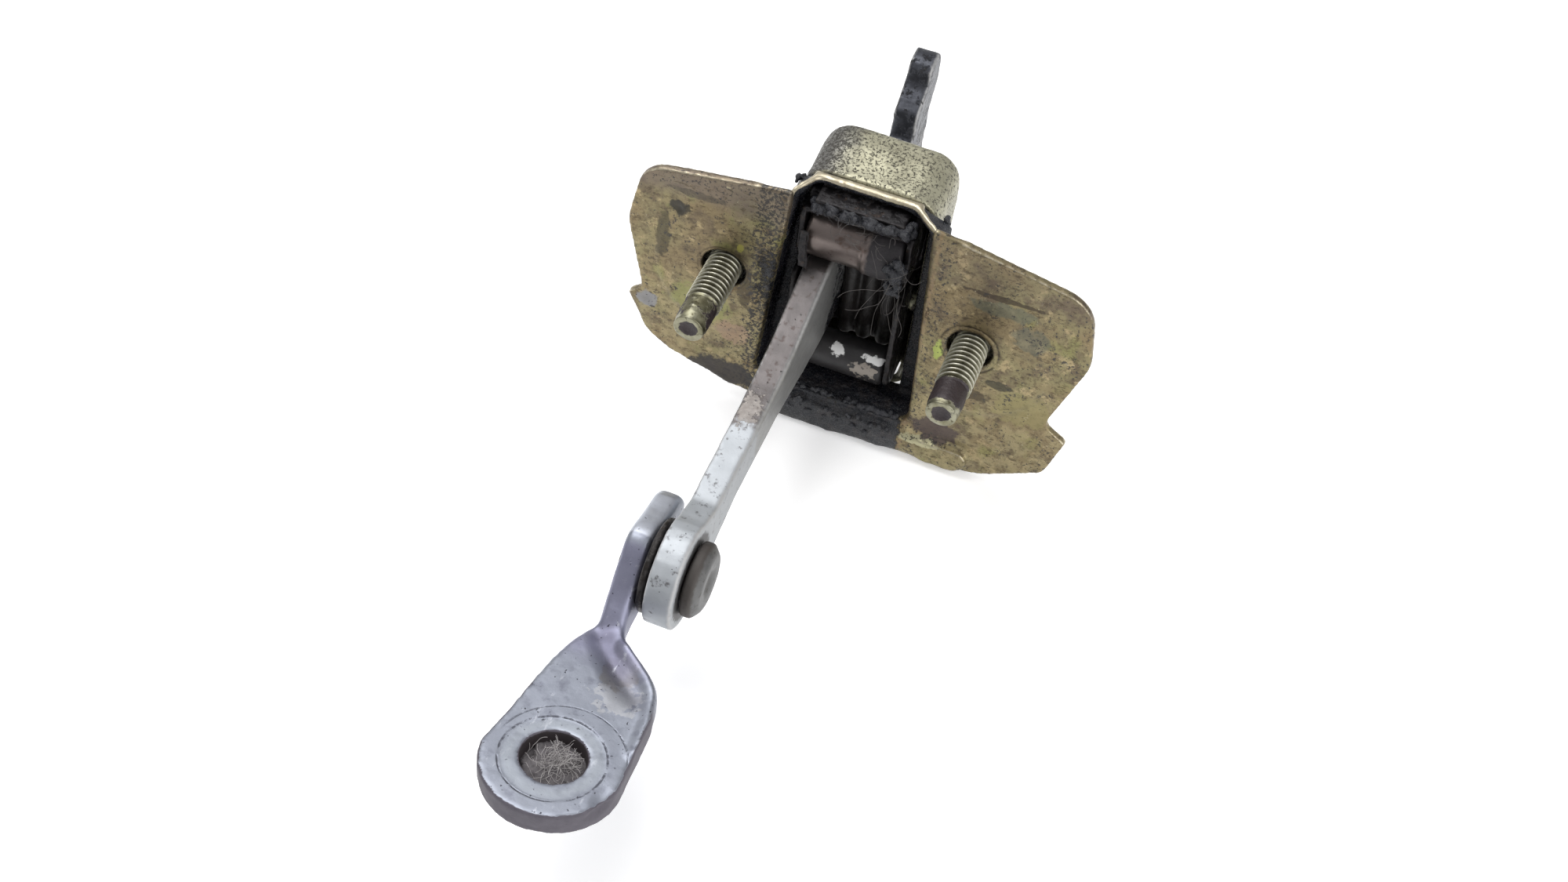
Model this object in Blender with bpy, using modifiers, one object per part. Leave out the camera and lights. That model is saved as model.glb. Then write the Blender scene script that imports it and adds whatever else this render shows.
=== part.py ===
"""A vehicle door check: a plate with two studs, a cup behind it, and a check arm that
slides between two rollers and carries a twisted pillar bracket on a rivet.

Metres, +Z up. The origin is midway between the studs on the plate's front face.
+X runs along the stud line, +Y goes back into the door, and every hinge turns about X.
Lengths below are in millimetres and are turned into metres where a shape is made.
"""

import math

import bmesh
import bpy
from mathutils import Matrix, Vector

MM = 0.001
GAP = 0.3

# Plate and cup
SHEET = 1.6
STUD_SPACING = 42.3
STUD_HOLE_R = 3.73
POCKET_DEPTH = 7.0
POCKET_LEFT = (-10.8, -14.2)
POCKET_RIGHT = (11.3, 13.4)
POCKET_TOP = 19.0
POCKET_FLOOR = -22.0
MOUTH = ((-10.9, 9.8), (-21.9, 17.5))
BAND_PROUD = 1.2
CUP_X = (-12.4, 10.8)
CUP_Z = (-24.0, 19.0)
CUP_BACK = 21.4
CUP_CORNER = 5.0
CUP_INNER_CORNER = 1.9
CUP_REAR_BEVEL = 2.5
BUFFER_THICK = 4.0
BUFFER_PLATE = 1.0
SLOT_X = (-9.6, -3.4)
SLOT_Z = (-16.2, 5.8)

# Studs: M6, with a plain point
STUD_R = 3.0
STUD_LENGTH = 15.5
STUD_HEAD = 1.8
STUD_HEAD_R = 5.0
THREAD_PITCH = 1.0
THREAD_TURNS = 10

# Arm
ARM_X = -6.5
ARM_THICK = 4.5
ARM_TOP = 3.6
ARM_BOTTOM = -13.9
PIVOT_Y = -54.4
PIVOT_Z = -9.0
EYE_R = 8.5
HEAD_FRONT = 50.8
RIVET_R = 4.0
RIVET_RUNNING = 0.1
RIVET_FLARE = 0.8
RIVET_FLARE_R = 4.8
RIVET_HEAD = 2.7
RIVET_HEAD_R = 5.9
RIVET_DIMPLE_R = 1.9
WASHER_R = 7.5
WASHER_CHAMFER = 0.3

# Rollers and their cage
ROLLER_Y = 7.0
UPPER_R = 4.6
UPPER_SHOULDER_R = 5.0
LOWER_R = 3.4
UPPER_Z = ARM_TOP + GAP + UPPER_R
LOWER_Z = ARM_BOTTOM - GAP - LOWER_R
ROLLER_X = (-9.3, 7.1)
SHOULDER_X = 0.4
CHEEK_X = ((-10.6, -9.6), (7.4, 8.4))
CAGE_Y = (2.4, 16.4)
CAGE_Z = (-19.9, 2.2)
CAGE_TOP = 16.8
CAGE_SHEET = 1.0
ROOF_THICK = 0.75
LIP_X = (-8.6, 6.4)
SPRING_MIDDLE = -1.1
SPRING_HALF = 6.8
SPRING_THICK = 0.5
SPRING_Y = (5.0, 11.0)
GUIDE_X = (-3.8, 7.0)
GUIDE_Z = (-18.6, 11.6)
GUIDE_RIBS = (-2.6, 0.8, 4.2)
GUIDE_RIB_R = 1.5
SWING_Y = 12.0
SWING_Z = -5.15
PIN_R = 1.5
PIN_RUNNING = 0.1
TRUNNION_R = 2.0
TRUNNION_HEAD = 1.2
TRUNNION_HEAD_R = 3.2

# Bracket
BRACKET_THICK = 4.5
EAR_THICK = 4.0
EAR_X = -12.5
EAR_END = -41.2
EAR_ROUNDING = 4.0
HOLE_X = -9.6
HOLE_Y = -92.0
HOLE_R = 4.75
PAD_R = 10.4
PAD_TILT = math.radians(9.0)
PAD_MIDDLE = -10.25

ROUND = 32


def clear_scene():
    for old in list(bpy.data.objects):
        bpy.data.objects.remove(old, do_unlink=True)


def new_collection(name, shown):
    made = bpy.data.collections.new(name)
    made.hide_render = not shown
    bpy.context.scene.collection.children.link(made)
    return made


def material(name, color, roughness, metallic):
    made = bpy.data.materials.new(name)
    made.use_nodes = True
    shader = made.node_tree.nodes["Principled BSDF"]
    shader.inputs["Base Color"].default_value = (*color, 1.0)
    shader.inputs["Roughness"].default_value = roughness
    shader.inputs["Metallic"].default_value = metallic
    made.diffuse_color = (*color, 1.0)
    return made


clear_scene()
PARTS = new_collection("door_check", True)
CUTTERS = new_collection("cutters", False)

YELLOW_ZINC = material("yellow_zinc", (0.46, 0.40, 0.22), 0.42, 0.9)
PALE_ZINC = material("pale_zinc", (0.58, 0.57, 0.46), 0.5, 0.85)
BRIGHT_ZINC = material("bright_zinc", (0.70, 0.68, 0.60), 0.35, 0.95)
ARM_STEEL = material("arm_steel", (0.36, 0.32, 0.32), 0.38, 0.9)
BRACKET_ZINC = material("bracket_zinc", (0.45, 0.46, 0.50), 0.4, 0.9)
DARK_STEEL = material("dark_steel", (0.14, 0.13, 0.13), 0.45, 0.9)
ROLLER_STEEL = material("roller_steel", (0.26, 0.21, 0.19), 0.35, 0.9)
SPRING_STEEL = material("spring_steel", (0.20, 0.22, 0.25), 0.3, 1.0)
RUBBER = material("rubber", (0.03, 0.03, 0.03), 0.8, 0.0)
NYLON = material("nylon", (0.06, 0.055, 0.05), 0.5, 0.0)


def keep(obj, finish=None):
    """Puts a made object in the collection it belongs to, as a part or as a cutter."""
    for home in list(obj.users_collection):
        home.objects.unlink(obj)
    (PARTS if finish else CUTTERS).objects.link(obj)
    if finish:
        obj.data.materials.clear()
        obj.data.materials.append(finish)
    else:
        obj.hide_render = True
        obj.display_type = "WIRE"
    return obj


def object_from(name, build, finish):
    """An object whose mesh is what build(bm) makes, in millimetres, turned into metres."""
    bm = bmesh.new()
    build(bm)
    bmesh.ops.recalc_face_normals(bm, faces=bm.faces)
    bmesh.ops.scale(bm, vec=(MM, MM, MM), verts=bm.verts)
    mesh = bpy.data.meshes.new(name)
    bm.to_mesh(mesh)
    bm.free()
    obj = bpy.data.objects.new(name, mesh)
    CUTTERS.objects.link(obj)
    return keep(obj, finish)


def box(name, x, y, z, finish=None):
    def build(bm):
        bmesh.ops.create_cube(bm, size=1.0)
        size = (x[1] - x[0], y[1] - y[0], z[1] - z[0])
        middle = ((x[0] + x[1]) / 2, (y[0] + y[1]) / 2, (z[0] + z[1]) / 2)
        bmesh.ops.scale(bm, vec=size, verts=bm.verts)
        bmesh.ops.translate(bm, vec=middle, verts=bm.verts)

    return object_from(name, build, finish)


def cylinder(name, radius, x, y, z, finish=None, axis="X", turn=0.0):
    """A cylinder along one axis: that axis gets a (low, high) pair, the others one value."""

    def build(bm):
        span = {"X": x, "Y": y, "Z": z}[axis]
        bmesh.ops.create_cone(
            bm, cap_ends=True, segments=ROUND, radius1=radius, radius2=radius,
            depth=span[1] - span[0],
        )
        rotations = {
            "X": Matrix.Rotation(math.pi / 2, 3, "Y"),
            "Y": Matrix.Rotation(math.pi / 2, 3, "X"),
            "Z": Matrix.Identity(3),
        }
        bmesh.ops.rotate(bm, cent=(0, 0, 0), matrix=rotations[axis], verts=bm.verts)
        bmesh.ops.rotate(bm, cent=(0, 0, 0), matrix=Matrix.Rotation(turn, 3, "X"), verts=bm.verts)
        middle = [sum(v) / 2 if isinstance(v, tuple) else v for v in (x, y, z)]
        bmesh.ops.translate(bm, vec=middle, verts=bm.verts)

    return object_from(name, build, finish)


def rounded(corners, steps=4):
    """An outline from (u, v, radius) corners, each rounded by an arc of that radius."""
    points = []
    count = len(corners)
    for i, (u, v, radius) in enumerate(corners):
        here = Vector((u, v))
        if radius <= 0:
            points.append(here)
            continue
        before = (Vector(corners[i - 1][:2]) - here).normalized()
        after = (Vector(corners[(i + 1) % count][:2]) - here).normalized()
        half = before.angle(after) / 2
        reach = radius / math.tan(half)
        centre = here + (before + after).normalized() * radius / math.sin(half)
        first = here + before * reach - centre
        sweep = first.angle_signed(here + after * reach - centre)
        for k in range(steps + 1):
            turn = Matrix.Rotation(-sweep * k / steps, 2)
            points.append(centre + turn @ first)
    return points


def arc(centre, radius, start_deg, end_deg, steps):
    """Plain corners along an arc, to stand in an outline among rounded ones."""
    found = []
    for k in range(steps + 1):
        angle = math.radians(start_deg + (end_deg - start_deg) * k / steps)
        found.append((centre[0] + radius * math.cos(angle), centre[1] + radius * math.sin(angle), 0))
    return found


def slab(name, corners, low, high, axis, finish=None, steps=4):
    """A flat outline, extruded from low to high along an axis.

    Along Y the outline is (x, z), along X it is (y, z), and along Z it is (x, y).
    """
    curve = bpy.data.curves.new(name, "CURVE")
    curve.dimensions = "2D"
    curve.fill_mode = "BOTH"
    curve.extrude = (high - low) / 2 * MM
    points = rounded(corners, steps)
    spline = curve.splines.new("POLY")
    spline.points.add(len(points) - 1)
    for point, (u, v) in zip(spline.points, points):
        point.co = (u * MM, v * MM, 0, 1)
    spline.use_cyclic_u = True
    drawn = bpy.data.objects.new(name + "_outline", curve)
    middle = (low + high) / 2 * MM
    frames = {
        "X": Matrix(((0, 0, 1, middle), (1, 0, 0, 0), (0, 1, 0, 0), (0, 0, 0, 1))),
        "Y": Matrix(((1, 0, 0, 0), (0, 0, -1, middle), (0, 1, 0, 0), (0, 0, 0, 1))),
        "Z": Matrix.Translation((0, 0, middle)),
    }
    CUTTERS.objects.link(drawn)
    bpy.context.view_layer.update()
    mesh = bpy.data.meshes.new_from_object(
        drawn.evaluated_get(bpy.context.evaluated_depsgraph_get())
    )
    bpy.data.objects.remove(drawn, do_unlink=True)
    bm = bmesh.new()
    bm.from_mesh(mesh)
    bmesh.ops.remove_doubles(bm, verts=bm.verts, dist=0.01 * MM)
    bmesh.ops.transform(bm, matrix=frames[axis], verts=bm.verts)
    bmesh.ops.recalc_face_normals(bm, faces=bm.faces)
    bm.to_mesh(mesh)
    bm.free()
    mesh.name = name
    obj = bpy.data.objects.new(name, mesh)
    CUTTERS.objects.link(obj)
    return keep(obj, finish)


def turned(name, profile, place, finish, axis="X", steps=ROUND):
    """A solid of revolution about an axis, from (along, radius) pairs.

    A profile that starts off the axis is a ring, so its two ends are joined.
    """
    mesh = bpy.data.meshes.new(name)
    verts = [(radius * MM, 0, along * MM) for along, radius in reversed(profile)]
    edges = [(i, i + 1) for i in range(len(verts) - 1)]
    if profile[0][1] > 0:
        edges.append((len(verts) - 1, 0))
    mesh.from_pydata(verts, edges, [])
    obj = bpy.data.objects.new(name, mesh)
    CUTTERS.objects.link(obj)
    screw = obj.modifiers.new("Screw", "SCREW")
    screw.steps = steps
    screw.render_steps = steps
    screw.use_merge_vertices = True
    screw.merge_threshold = 0.00001
    screw.use_smooth_shade = True
    obj.location = Vector(place) * MM
    if axis == "X":
        obj.rotation_euler = (0, math.pi / 2, 0)
    if axis == "Y":
        obj.rotation_euler = (-math.pi / 2, 0, 0)
    return keep(obj, finish)


def boolean(obj, other, operation="DIFFERENCE", solver="EXACT"):
    cut = obj.modifiers.new(operation.title(), "BOOLEAN")
    cut.operation = operation
    cut.solver = solver
    cut.object = other


def smooth(obj, angle=35):
    obj.data.shade_smooth()
    obj.data.set_sharp_from_angle(angle=math.radians(angle))


def set_origin(obj, place):
    """Moves an object's origin onto its joint's axis without moving its shape."""
    place = Vector(place) * MM
    obj.data.transform(Matrix.Translation(-place))
    obj.location = place


def plate_outline():
    return [
        (POCKET_LEFT[0], 20.4, 1),
        (-36.2, 16.2, 5.5),
        (-38.4, 4.0, 9),
        (-35.2, -10.6, 0.8),
        (-37.6, -12.6, 0.5),
        (-34.0, -20.2, 4),
        (-29.5, -23.2, 3),
        (-15.5, -27.4, 6),
        (-9.0, -29.2, 3),
        (12.0, -28.6, 4),
        (26.2, -28.8, 6),
        (37.6, -22.8, 3),
        (39.9, -14.4, 0.5),
        (35.7, -11.7, 2),
        (40.5, 4.0, 8),
        (38.6, 16.8, 6.5),
        (POCKET_RIGHT[0], 22.0, 1),
        (POCKET_RIGHT[0] - 1.2, POCKET_TOP - 1, 0),
        (POCKET_LEFT[0] + 1.2, POCKET_TOP - 1, 0),
    ]


def pocket_outline(grow, top):
    """The pocket's section in (x, z): it widens downwards. grow moves its three walls out."""
    return [
        (POCKET_LEFT[0] - grow, top, 0),
        (POCKET_LEFT[1] - grow, POCKET_FLOOR - grow, 1.5 + grow),
        (POCKET_RIGHT[1] + grow, POCKET_FLOOR - grow, 1.5 + grow),
        (POCKET_RIGHT[0] + grow, top, 0),
    ]


def make_mounting_plate():
    plate = slab("mounting_plate", plate_outline(), 0, SHEET, "Y", YELLOW_ZINC, 5)
    shell = slab("pocket_shell", pocket_outline(SHEET, POCKET_TOP), 0.1, POCKET_DEPTH + SHEET, "Y")
    hollow = slab("pocket_hollow", pocket_outline(0, POCKET_TOP + 6), -1, POCKET_DEPTH, "Y")
    band = [
        (-12, -23.4, 1), (-12, -28.0, 1), (-9, -28.9, 1), (12, -28.3, 2), (25, -28.5, 3),
        (25, -23.9, 2),
    ]
    lip = slab("band_front", band, -BAND_PROUD, 0.4, "Y")
    mouth = box("mouth", MOUTH[0], (POCKET_DEPTH - 1, POCKET_DEPTH + 3), MOUTH[1])
    boolean(plate, shell, "UNION")
    boolean(plate, hollow)
    boolean(plate, mouth)
    for side in (-1, 1):
        hole = cylinder("plate_stud_hole", STUD_HOLE_R, side * STUD_SPACING / 2, (-1, 3), 0, axis="Y")
        boolean(plate, hole)
    boolean(plate, lip, "UNION", "MANIFOLD")
    smooth(plate)


def make_stud_carrier():
    """The second sheet behind the wings, which the studs are pressed into."""
    low = SHEET + GAP
    outline = [
        (-13.4, 17.0, 1), (-29, 12.0, 4), (-29, -14, 5), (-17, -24.6, 3), (-12, -27.4, 1),
        (12, -27.2, 1), (18, -25.0, 3), (30, -15, 5), (30, 12.0, 4), (13.6, 18.0, 1),
        (15.6, -22, 0), (15.4, -24.2, 0), (-16.2, -24.2, 0), (-16.4, -22, 0),
    ]
    carrier = slab("stud_carrier", outline, low, low + SHEET, "Y", PALE_ZINC)
    for side in (-1, 1):
        hole = cylinder("carrier_hole", STUD_R + GAP, side * STUD_SPACING / 2, (1, 5), 0, axis="Y")
        boolean(carrier, hole)


def stud_profile():
    """From the head behind the carrier to the tip, as (distance forward, radius)."""
    behind = -(2 * SHEET + 2 * GAP)
    profile = [
        (behind - STUD_HEAD, 0), (behind - STUD_HEAD, STUD_HEAD_R - 0.4),
        (behind - STUD_HEAD + 0.4, STUD_HEAD_R), (behind, STUD_HEAD_R),
        (behind, STUD_R - 0.1),
    ]
    start = -0.2
    for turn in range(THREAD_TURNS):
        crest = start + THREAD_PITCH * (turn + 0.5)
        profile.append((crest - 0.5 * THREAD_PITCH, STUD_R - 0.5))
        profile.append((crest, STUD_R))
    neck = start + THREAD_PITCH * THREAD_TURNS
    profile.append((neck + 0.5, STUD_R - 0.25))
    profile.append((STUD_LENGTH - 1.6, STUD_R - 0.3))
    profile.append((STUD_LENGTH - 0.3, STUD_R - 0.55))
    profile.append((STUD_LENGTH, STUD_R - 0.9))
    profile.append((STUD_LENGTH, STUD_R - 1.5))
    profile.append((STUD_LENGTH - 0.7, STUD_R - 2.3))
    profile.append((STUD_LENGTH - 0.7, 0))
    return profile


def make_studs():
    for side, name in ((-1, "left_stud"), (1, "right_stud")):
        forward = [(-along, radius) for along, radius in reversed(stud_profile())]
        turned(name, forward, (side * STUD_SPACING / 2, 0, 0), BRIGHT_ZINC, "Y", 20)


def make_housing_cup():
    front = POCKET_DEPTH + SHEET + GAP
    corners = [
        (CUP_X[0], CUP_Z[0], CUP_CORNER), (CUP_X[1], CUP_Z[0], CUP_CORNER),
        (CUP_X[1], CUP_Z[1], CUP_CORNER), (CUP_X[0], CUP_Z[1], CUP_CORNER),
    ]
    cup = slab("housing_cup", corners, front, CUP_BACK, "Y", PALE_ZINC)
    inner = [
        (CUP_X[0] + SHEET, CUP_Z[0] + SHEET, CUP_INNER_CORNER),
        (CUP_X[1] - SHEET, CUP_Z[0] + SHEET, CUP_INNER_CORNER),
        (CUP_X[1] - SHEET, CUP_Z[1] - SHEET, CUP_INNER_CORNER),
        (CUP_X[0] + SHEET, CUP_Z[1] - SHEET, CUP_INNER_CORNER),
    ]
    hollow = slab("cup_hollow", inner, front - 2, CUP_BACK - SHEET, "Y")
    rear_edge = cup.modifiers.new("Bevel", "BEVEL")
    rear_edge.width = CUP_REAR_BEVEL * MM
    rear_edge.segments = 3
    rear_edge.limit_method = "VGROUP"
    group = cup.vertex_groups.new(name="rear")
    rear = [v.index for v in cup.data.vertices if v.co.y > (CUP_BACK - 1) * MM]
    group.add(rear, 1.0, "REPLACE")
    rear_edge.vertex_group = "rear"
    boolean(cup, hollow)
    slot = box("cup_slot", SLOT_X, (CUP_BACK - 4, CUP_BACK + 2), SLOT_Z)
    boolean(cup, slot)
    drain = box("cup_drain", (-5, 8), (10.5, 14.5), (CUP_Z[0] - 2, CUP_Z[0] + 4))
    boolean(cup, drain)
    pin_holes = cylinder(
        "trunnion_holes", TRUNNION_R + PIN_RUNNING, (CUP_X[0] - 2, CUP_X[1] + 2), SWING_Y, SWING_Z
    )
    boolean(cup, pin_holes)
    smooth(cup)


def make_rear_buffer():
    """A rubber block and a steel plate behind the cup, which the arm's head stops on."""
    window = box("buffer_window", SLOT_X, (CUP_BACK - 1, CUP_BACK + 9), SLOT_Z)
    rubber = [(-12, -21, 2), (-1, -21, 2), (-1, 10, 2), (-12, 10, 2)]
    start = CUP_BACK + GAP
    buffer = slab("rear_buffer", rubber, start, start + BUFFER_THICK, "Y", RUBBER)
    boolean(buffer, window)
    plate = [(-12.4, -21.4, 2), (-0.6, -21.4, 2), (-0.6, 10.4, 2), (-12.4, 10.4, 2)]
    start += BUFFER_THICK + GAP
    facing = slab("buffer_plate", plate, start, start + BUFFER_PLATE, "Y", DARK_STEEL)
    boolean(facing, window)


def make_trunnions():
    """Two headed pins through the cup's side walls, on which the cage swings."""
    left_end = CUP_X[0] - GAP
    right_end = CUP_X[1] + GAP
    left = [
        (left_end - TRUNNION_HEAD, 0), (left_end - TRUNNION_HEAD, TRUNNION_HEAD_R - 0.2),
        (left_end, TRUNNION_HEAD_R), (left_end, TRUNNION_R), (CHEEK_X[0][1] + 0.2, TRUNNION_R),
        (CHEEK_X[0][1] + 0.2, 0),
    ]
    right = [
        (CHEEK_X[1][0] - 0.4, 0), (CHEEK_X[1][0] - 0.4, TRUNNION_R), (right_end, TRUNNION_R),
        (right_end, TRUNNION_HEAD_R), (right_end + TRUNNION_HEAD, TRUNNION_HEAD_R - 0.2),
        (right_end + TRUNNION_HEAD, 0),
    ]
    turned("left_trunnion", left, (0, SWING_Y, SWING_Z), BRIGHT_ZINC)
    turned("right_trunnion", right, (0, SWING_Y, SWING_Z), BRIGHT_ZINC)


def make_roller_cage():
    """Two cheeks joined by a slotted rear wall, with a lip bent forward over the spring."""
    cheek = [
        (CAGE_Y[0] + 1, CAGE_Z[0], 3), (CAGE_Y[1], CAGE_Z[0], 0), (CAGE_Y[1], 13.8, 1),
        (13.2, 13.8, 1), (13.2, CAGE_Z[1], 1), (CAGE_Y[0], CAGE_Z[1] - 1, 2),
    ]
    cage = slab("roller_cage", cheek, *CHEEK_X[0], "X", DARK_STEEL)
    right = slab("right_cheek", cheek, *CHEEK_X[1], "X")
    wall_x = (CHEEK_X[0][0] + 0.2, CHEEK_X[1][1] - 0.2)
    rear = box("cage_rear", wall_x, (CAGE_Y[1] - CAGE_SHEET, CAGE_Y[1]), (CAGE_Z[0] + 1, 14.0))
    neck = box("cage_neck", LIP_X, (CAGE_Y[1] - 1.1, CAGE_Y[1] - 0.1), (12.0, CAGE_TOP - 0.1))
    lip = box("cage_lip", LIP_X, (4.0, CAGE_Y[1]), (CAGE_TOP - 0.8, CAGE_TOP))
    for piece in (rear, right, neck, lip):
        boolean(cage, piece, "UNION", "MANIFOLD")
    window = box("cage_window", (-9.2, -3.8), (14, 19), (ARM_BOTTOM - 0.5, ARM_TOP + 0.5))
    across = (CHEEK_X[0][0] - 1, CHEEK_X[1][1] + 1)
    swing_hole = cylinder("cage_trunnion_hole", TRUNNION_R + PIN_RUNNING, across, SWING_Y, SWING_Z)
    pin_hole = cylinder("cage_pin_hole", PIN_R + PIN_RUNNING, across, ROLLER_Y, LOWER_Z)
    for cutter in (window, swing_hole, pin_hole):
        boolean(cage, cutter, "DIFFERENCE", "MANIFOLD")
    smooth(cage)
    set_origin(cage, (0, SWING_Y, SWING_Z))


def make_arm_guide():
    """A ribbed nylon block that fills the cage beside the arm."""
    base = (13.4, CAGE_Y[1] - CAGE_SHEET - GAP)
    guide = box("arm_guide", GUIDE_X, base, GUIDE_Z, NYLON)
    for x in GUIDE_RIBS:
        rib = cylinder("guide_rib", GUIDE_RIB_R, x, base[0] - 0.2, (GUIDE_Z[0] + 0.4, 1.8), axis="Z")
        boolean(guide, rib, "UNION")


def make_lower_roller():
    profile = [
        (ROLLER_X[0], PIN_R + PIN_RUNNING), (ROLLER_X[0], LOWER_R - 0.5), (ROLLER_X[0] + 0.5, LOWER_R),
        (ROLLER_X[1] - 0.5, LOWER_R), (ROLLER_X[1], LOWER_R - 0.5), (ROLLER_X[1], PIN_R + PIN_RUNNING),
    ]
    turned("lower_roller", profile, (0, ROLLER_Y, LOWER_Z), ROLLER_STEEL)
    pin = [(CHEEK_X[0][0], 0), (CHEEK_X[0][0], PIN_R), (CHEEK_X[1][1], PIN_R), (CHEEK_X[1][1], 0)]
    turned("lower_pin", pin, (0, ROLLER_Y, LOWER_Z), BRIGHT_ZINC)


def make_upper_carrier():
    """An upside-down U over the upper roller, with a pin across it."""
    roof = UPPER_Z + UPPER_SHOULDER_R + GAP
    cheek = [(3.2, 5.0, 2), (11.2, 5.0, 2), (12.4, 9, 1), (12.4, roof + 0.8, 0), (3.2, roof + 0.8, 1)]
    carrier = slab("upper_carrier", cheek, *CHEEK_X[0], "X", DARK_STEEL)
    right = slab("carrier_right", cheek, *CHEEK_X[1], "X")
    top = box("carrier_top", (CHEEK_X[0][0] + 0.2, CHEEK_X[1][1] - 0.2), (4, 12.2), (roof, roof + ROOF_THICK))
    boolean(carrier, right, "UNION")
    boolean(carrier, top, "UNION")
    across = (CHEEK_X[0][0] - 1, CHEEK_X[1][1] + 1)
    boolean(carrier, cylinder("carrier_pin_hole", PIN_R + PIN_RUNNING, across, ROLLER_Y, UPPER_Z))
    set_origin(carrier, (0, ROLLER_Y, UPPER_Z))
    pin = [(CHEEK_X[0][0], 0), (CHEEK_X[0][0], PIN_R), (CHEEK_X[1][1], PIN_R), (CHEEK_X[1][1], 0)]
    turned("upper_pin", pin, (0, ROLLER_Y, UPPER_Z), BRIGHT_ZINC)


def make_upper_roller():
    bore = PIN_R + PIN_RUNNING
    profile = [
        (ROLLER_X[0], bore), (ROLLER_X[0], UPPER_R - 0.5), (ROLLER_X[0] + 0.5, UPPER_R),
        (SHOULDER_X, UPPER_R), (SHOULDER_X + 0.4, UPPER_SHOULDER_R),
        (ROLLER_X[1] - 0.5, UPPER_SHOULDER_R), (ROLLER_X[1], UPPER_SHOULDER_R - 0.5),
        (ROLLER_X[1], bore),
    ]
    turned("upper_roller", profile, (0, ROLLER_Y, UPPER_Z), ROLLER_STEEL)


def make_leaf_spring():
    """A bowed strip between the carrier's roof and the cage's lip."""
    foot = UPPER_Z + UPPER_SHOULDER_R + 2 * GAP + ROOF_THICK
    crown = CAGE_TOP - 0.8 - 0.25

    def build(bm):
        rows = []
        count = 12
        for k in range(count + 1):
            x = SPRING_MIDDLE + SPRING_HALF * (2 * k / count - 1)
            rise = 1 - ((x - SPRING_MIDDLE) / SPRING_HALF) ** 2
            z = foot + (crown - foot - SPRING_THICK) * rise
            rows.append([bm.verts.new((x, y, z)) for y in SPRING_Y])
        for before, after in zip(rows, rows[1:]):
            bm.faces.new((before[0], after[0], after[1], before[1]))

    spring = object_from("leaf_spring", build, SPRING_STEEL)
    thick = spring.modifiers.new("Solidify", "SOLIDIFY")
    thick.thickness = SPRING_THICK * MM
    thick.offset = 1.0 if spring.data.polygons[0].normal.z > 0 else -1.0


def arm_outline():
    eye = arc((PIVOT_Y, PIVOT_Z), EYE_R, 52, 306, 18)
    return eye + [
        (-44.0, -12.8, 3), (-35.5, -10.9, 6), (-18.0, -11.0, 10), (-2.0, -13.4, 8),
        (3.0, ARM_BOTTOM, 6), (16.5, ARM_BOTTOM, 6), (25.0, -12.4, 6), (HEAD_FRONT, -12.4, 1.5),
        (HEAD_FRONT, -20.2, 1.2), (60.2, -20.2, 2), (60.4, -6.0, 3), (63.4, -0.6, 3), (63.0, 6.2, 2.8),
        (56.2, 6.2, 2.8), (56.2, 2.4, 2), (51.3, -1.2, 2), (HEAD_FRONT, -6.6, 1.5),
        (46.0, -6.4, 4), (31.0, -3.0, 8), (17.5, ARM_TOP, 5), (3.5, ARM_TOP, 5), (-2.8, 1.5, 6),
        (-11.0, -1.3, 8), (-19.0, -2.7, 8), (-30.0, -3.5, 8), (-44.2, -4.0, 3),
    ]


def make_check_arm():
    half = ARM_THICK / 2
    arm = slab("check_arm", arm_outline(), ARM_X - half, ARM_X + half, "X", ARM_STEEL, 3)
    eye = cylinder("arm_eye", RIVET_R + RIVET_RUNNING, (ARM_X - 4, ARM_X + 4), PIVOT_Y, PIVOT_Z)
    boolean(arm, eye)
    smooth(arm)
    set_origin(arm, (ARM_X, PIVOT_Y, PIVOT_Z))


def make_rivet():
    """The headed pivot, flared into the ear's far side, and the spacer on it."""
    right_face = ARM_X + ARM_THICK / 2 + GAP
    left = EAR_X - EAR_THICK / 2
    profile = [
        (left, 0), (left, RIVET_FLARE_R), (left + RIVET_FLARE, RIVET_R - RIVET_RUNNING / 2),
        (right_face, RIVET_R - RIVET_RUNNING / 2), (right_face, RIVET_HEAD_R),
        (right_face + RIVET_HEAD - 0.6, RIVET_HEAD_R), (right_face + RIVET_HEAD, RIVET_HEAD_R - 0.7),
        (right_face + RIVET_HEAD, RIVET_DIMPLE_R),
        (right_face + RIVET_HEAD - 0.3, RIVET_DIMPLE_R - 0.4), (right_face + RIVET_HEAD - 0.3, 0),
    ]
    turned("pivot_rivet", profile, (0, PIVOT_Y, PIVOT_Z), BRACKET_ZINC)
    low = EAR_X + EAR_THICK / 2 + GAP
    high = ARM_X - ARM_THICK / 2 - GAP
    bore = RIVET_R + RIVET_RUNNING
    edge = WASHER_R - WASHER_CHAMFER
    ring = [
        (low, bore), (low, edge), (low + WASHER_CHAMFER, WASHER_R),
        (high - WASHER_CHAMFER, WASHER_R), (high, edge), (high, bore),
    ]
    turned("spacer_washer", ring, (0, PIVOT_Y, PIVOT_Z), DARK_STEEL)


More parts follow.
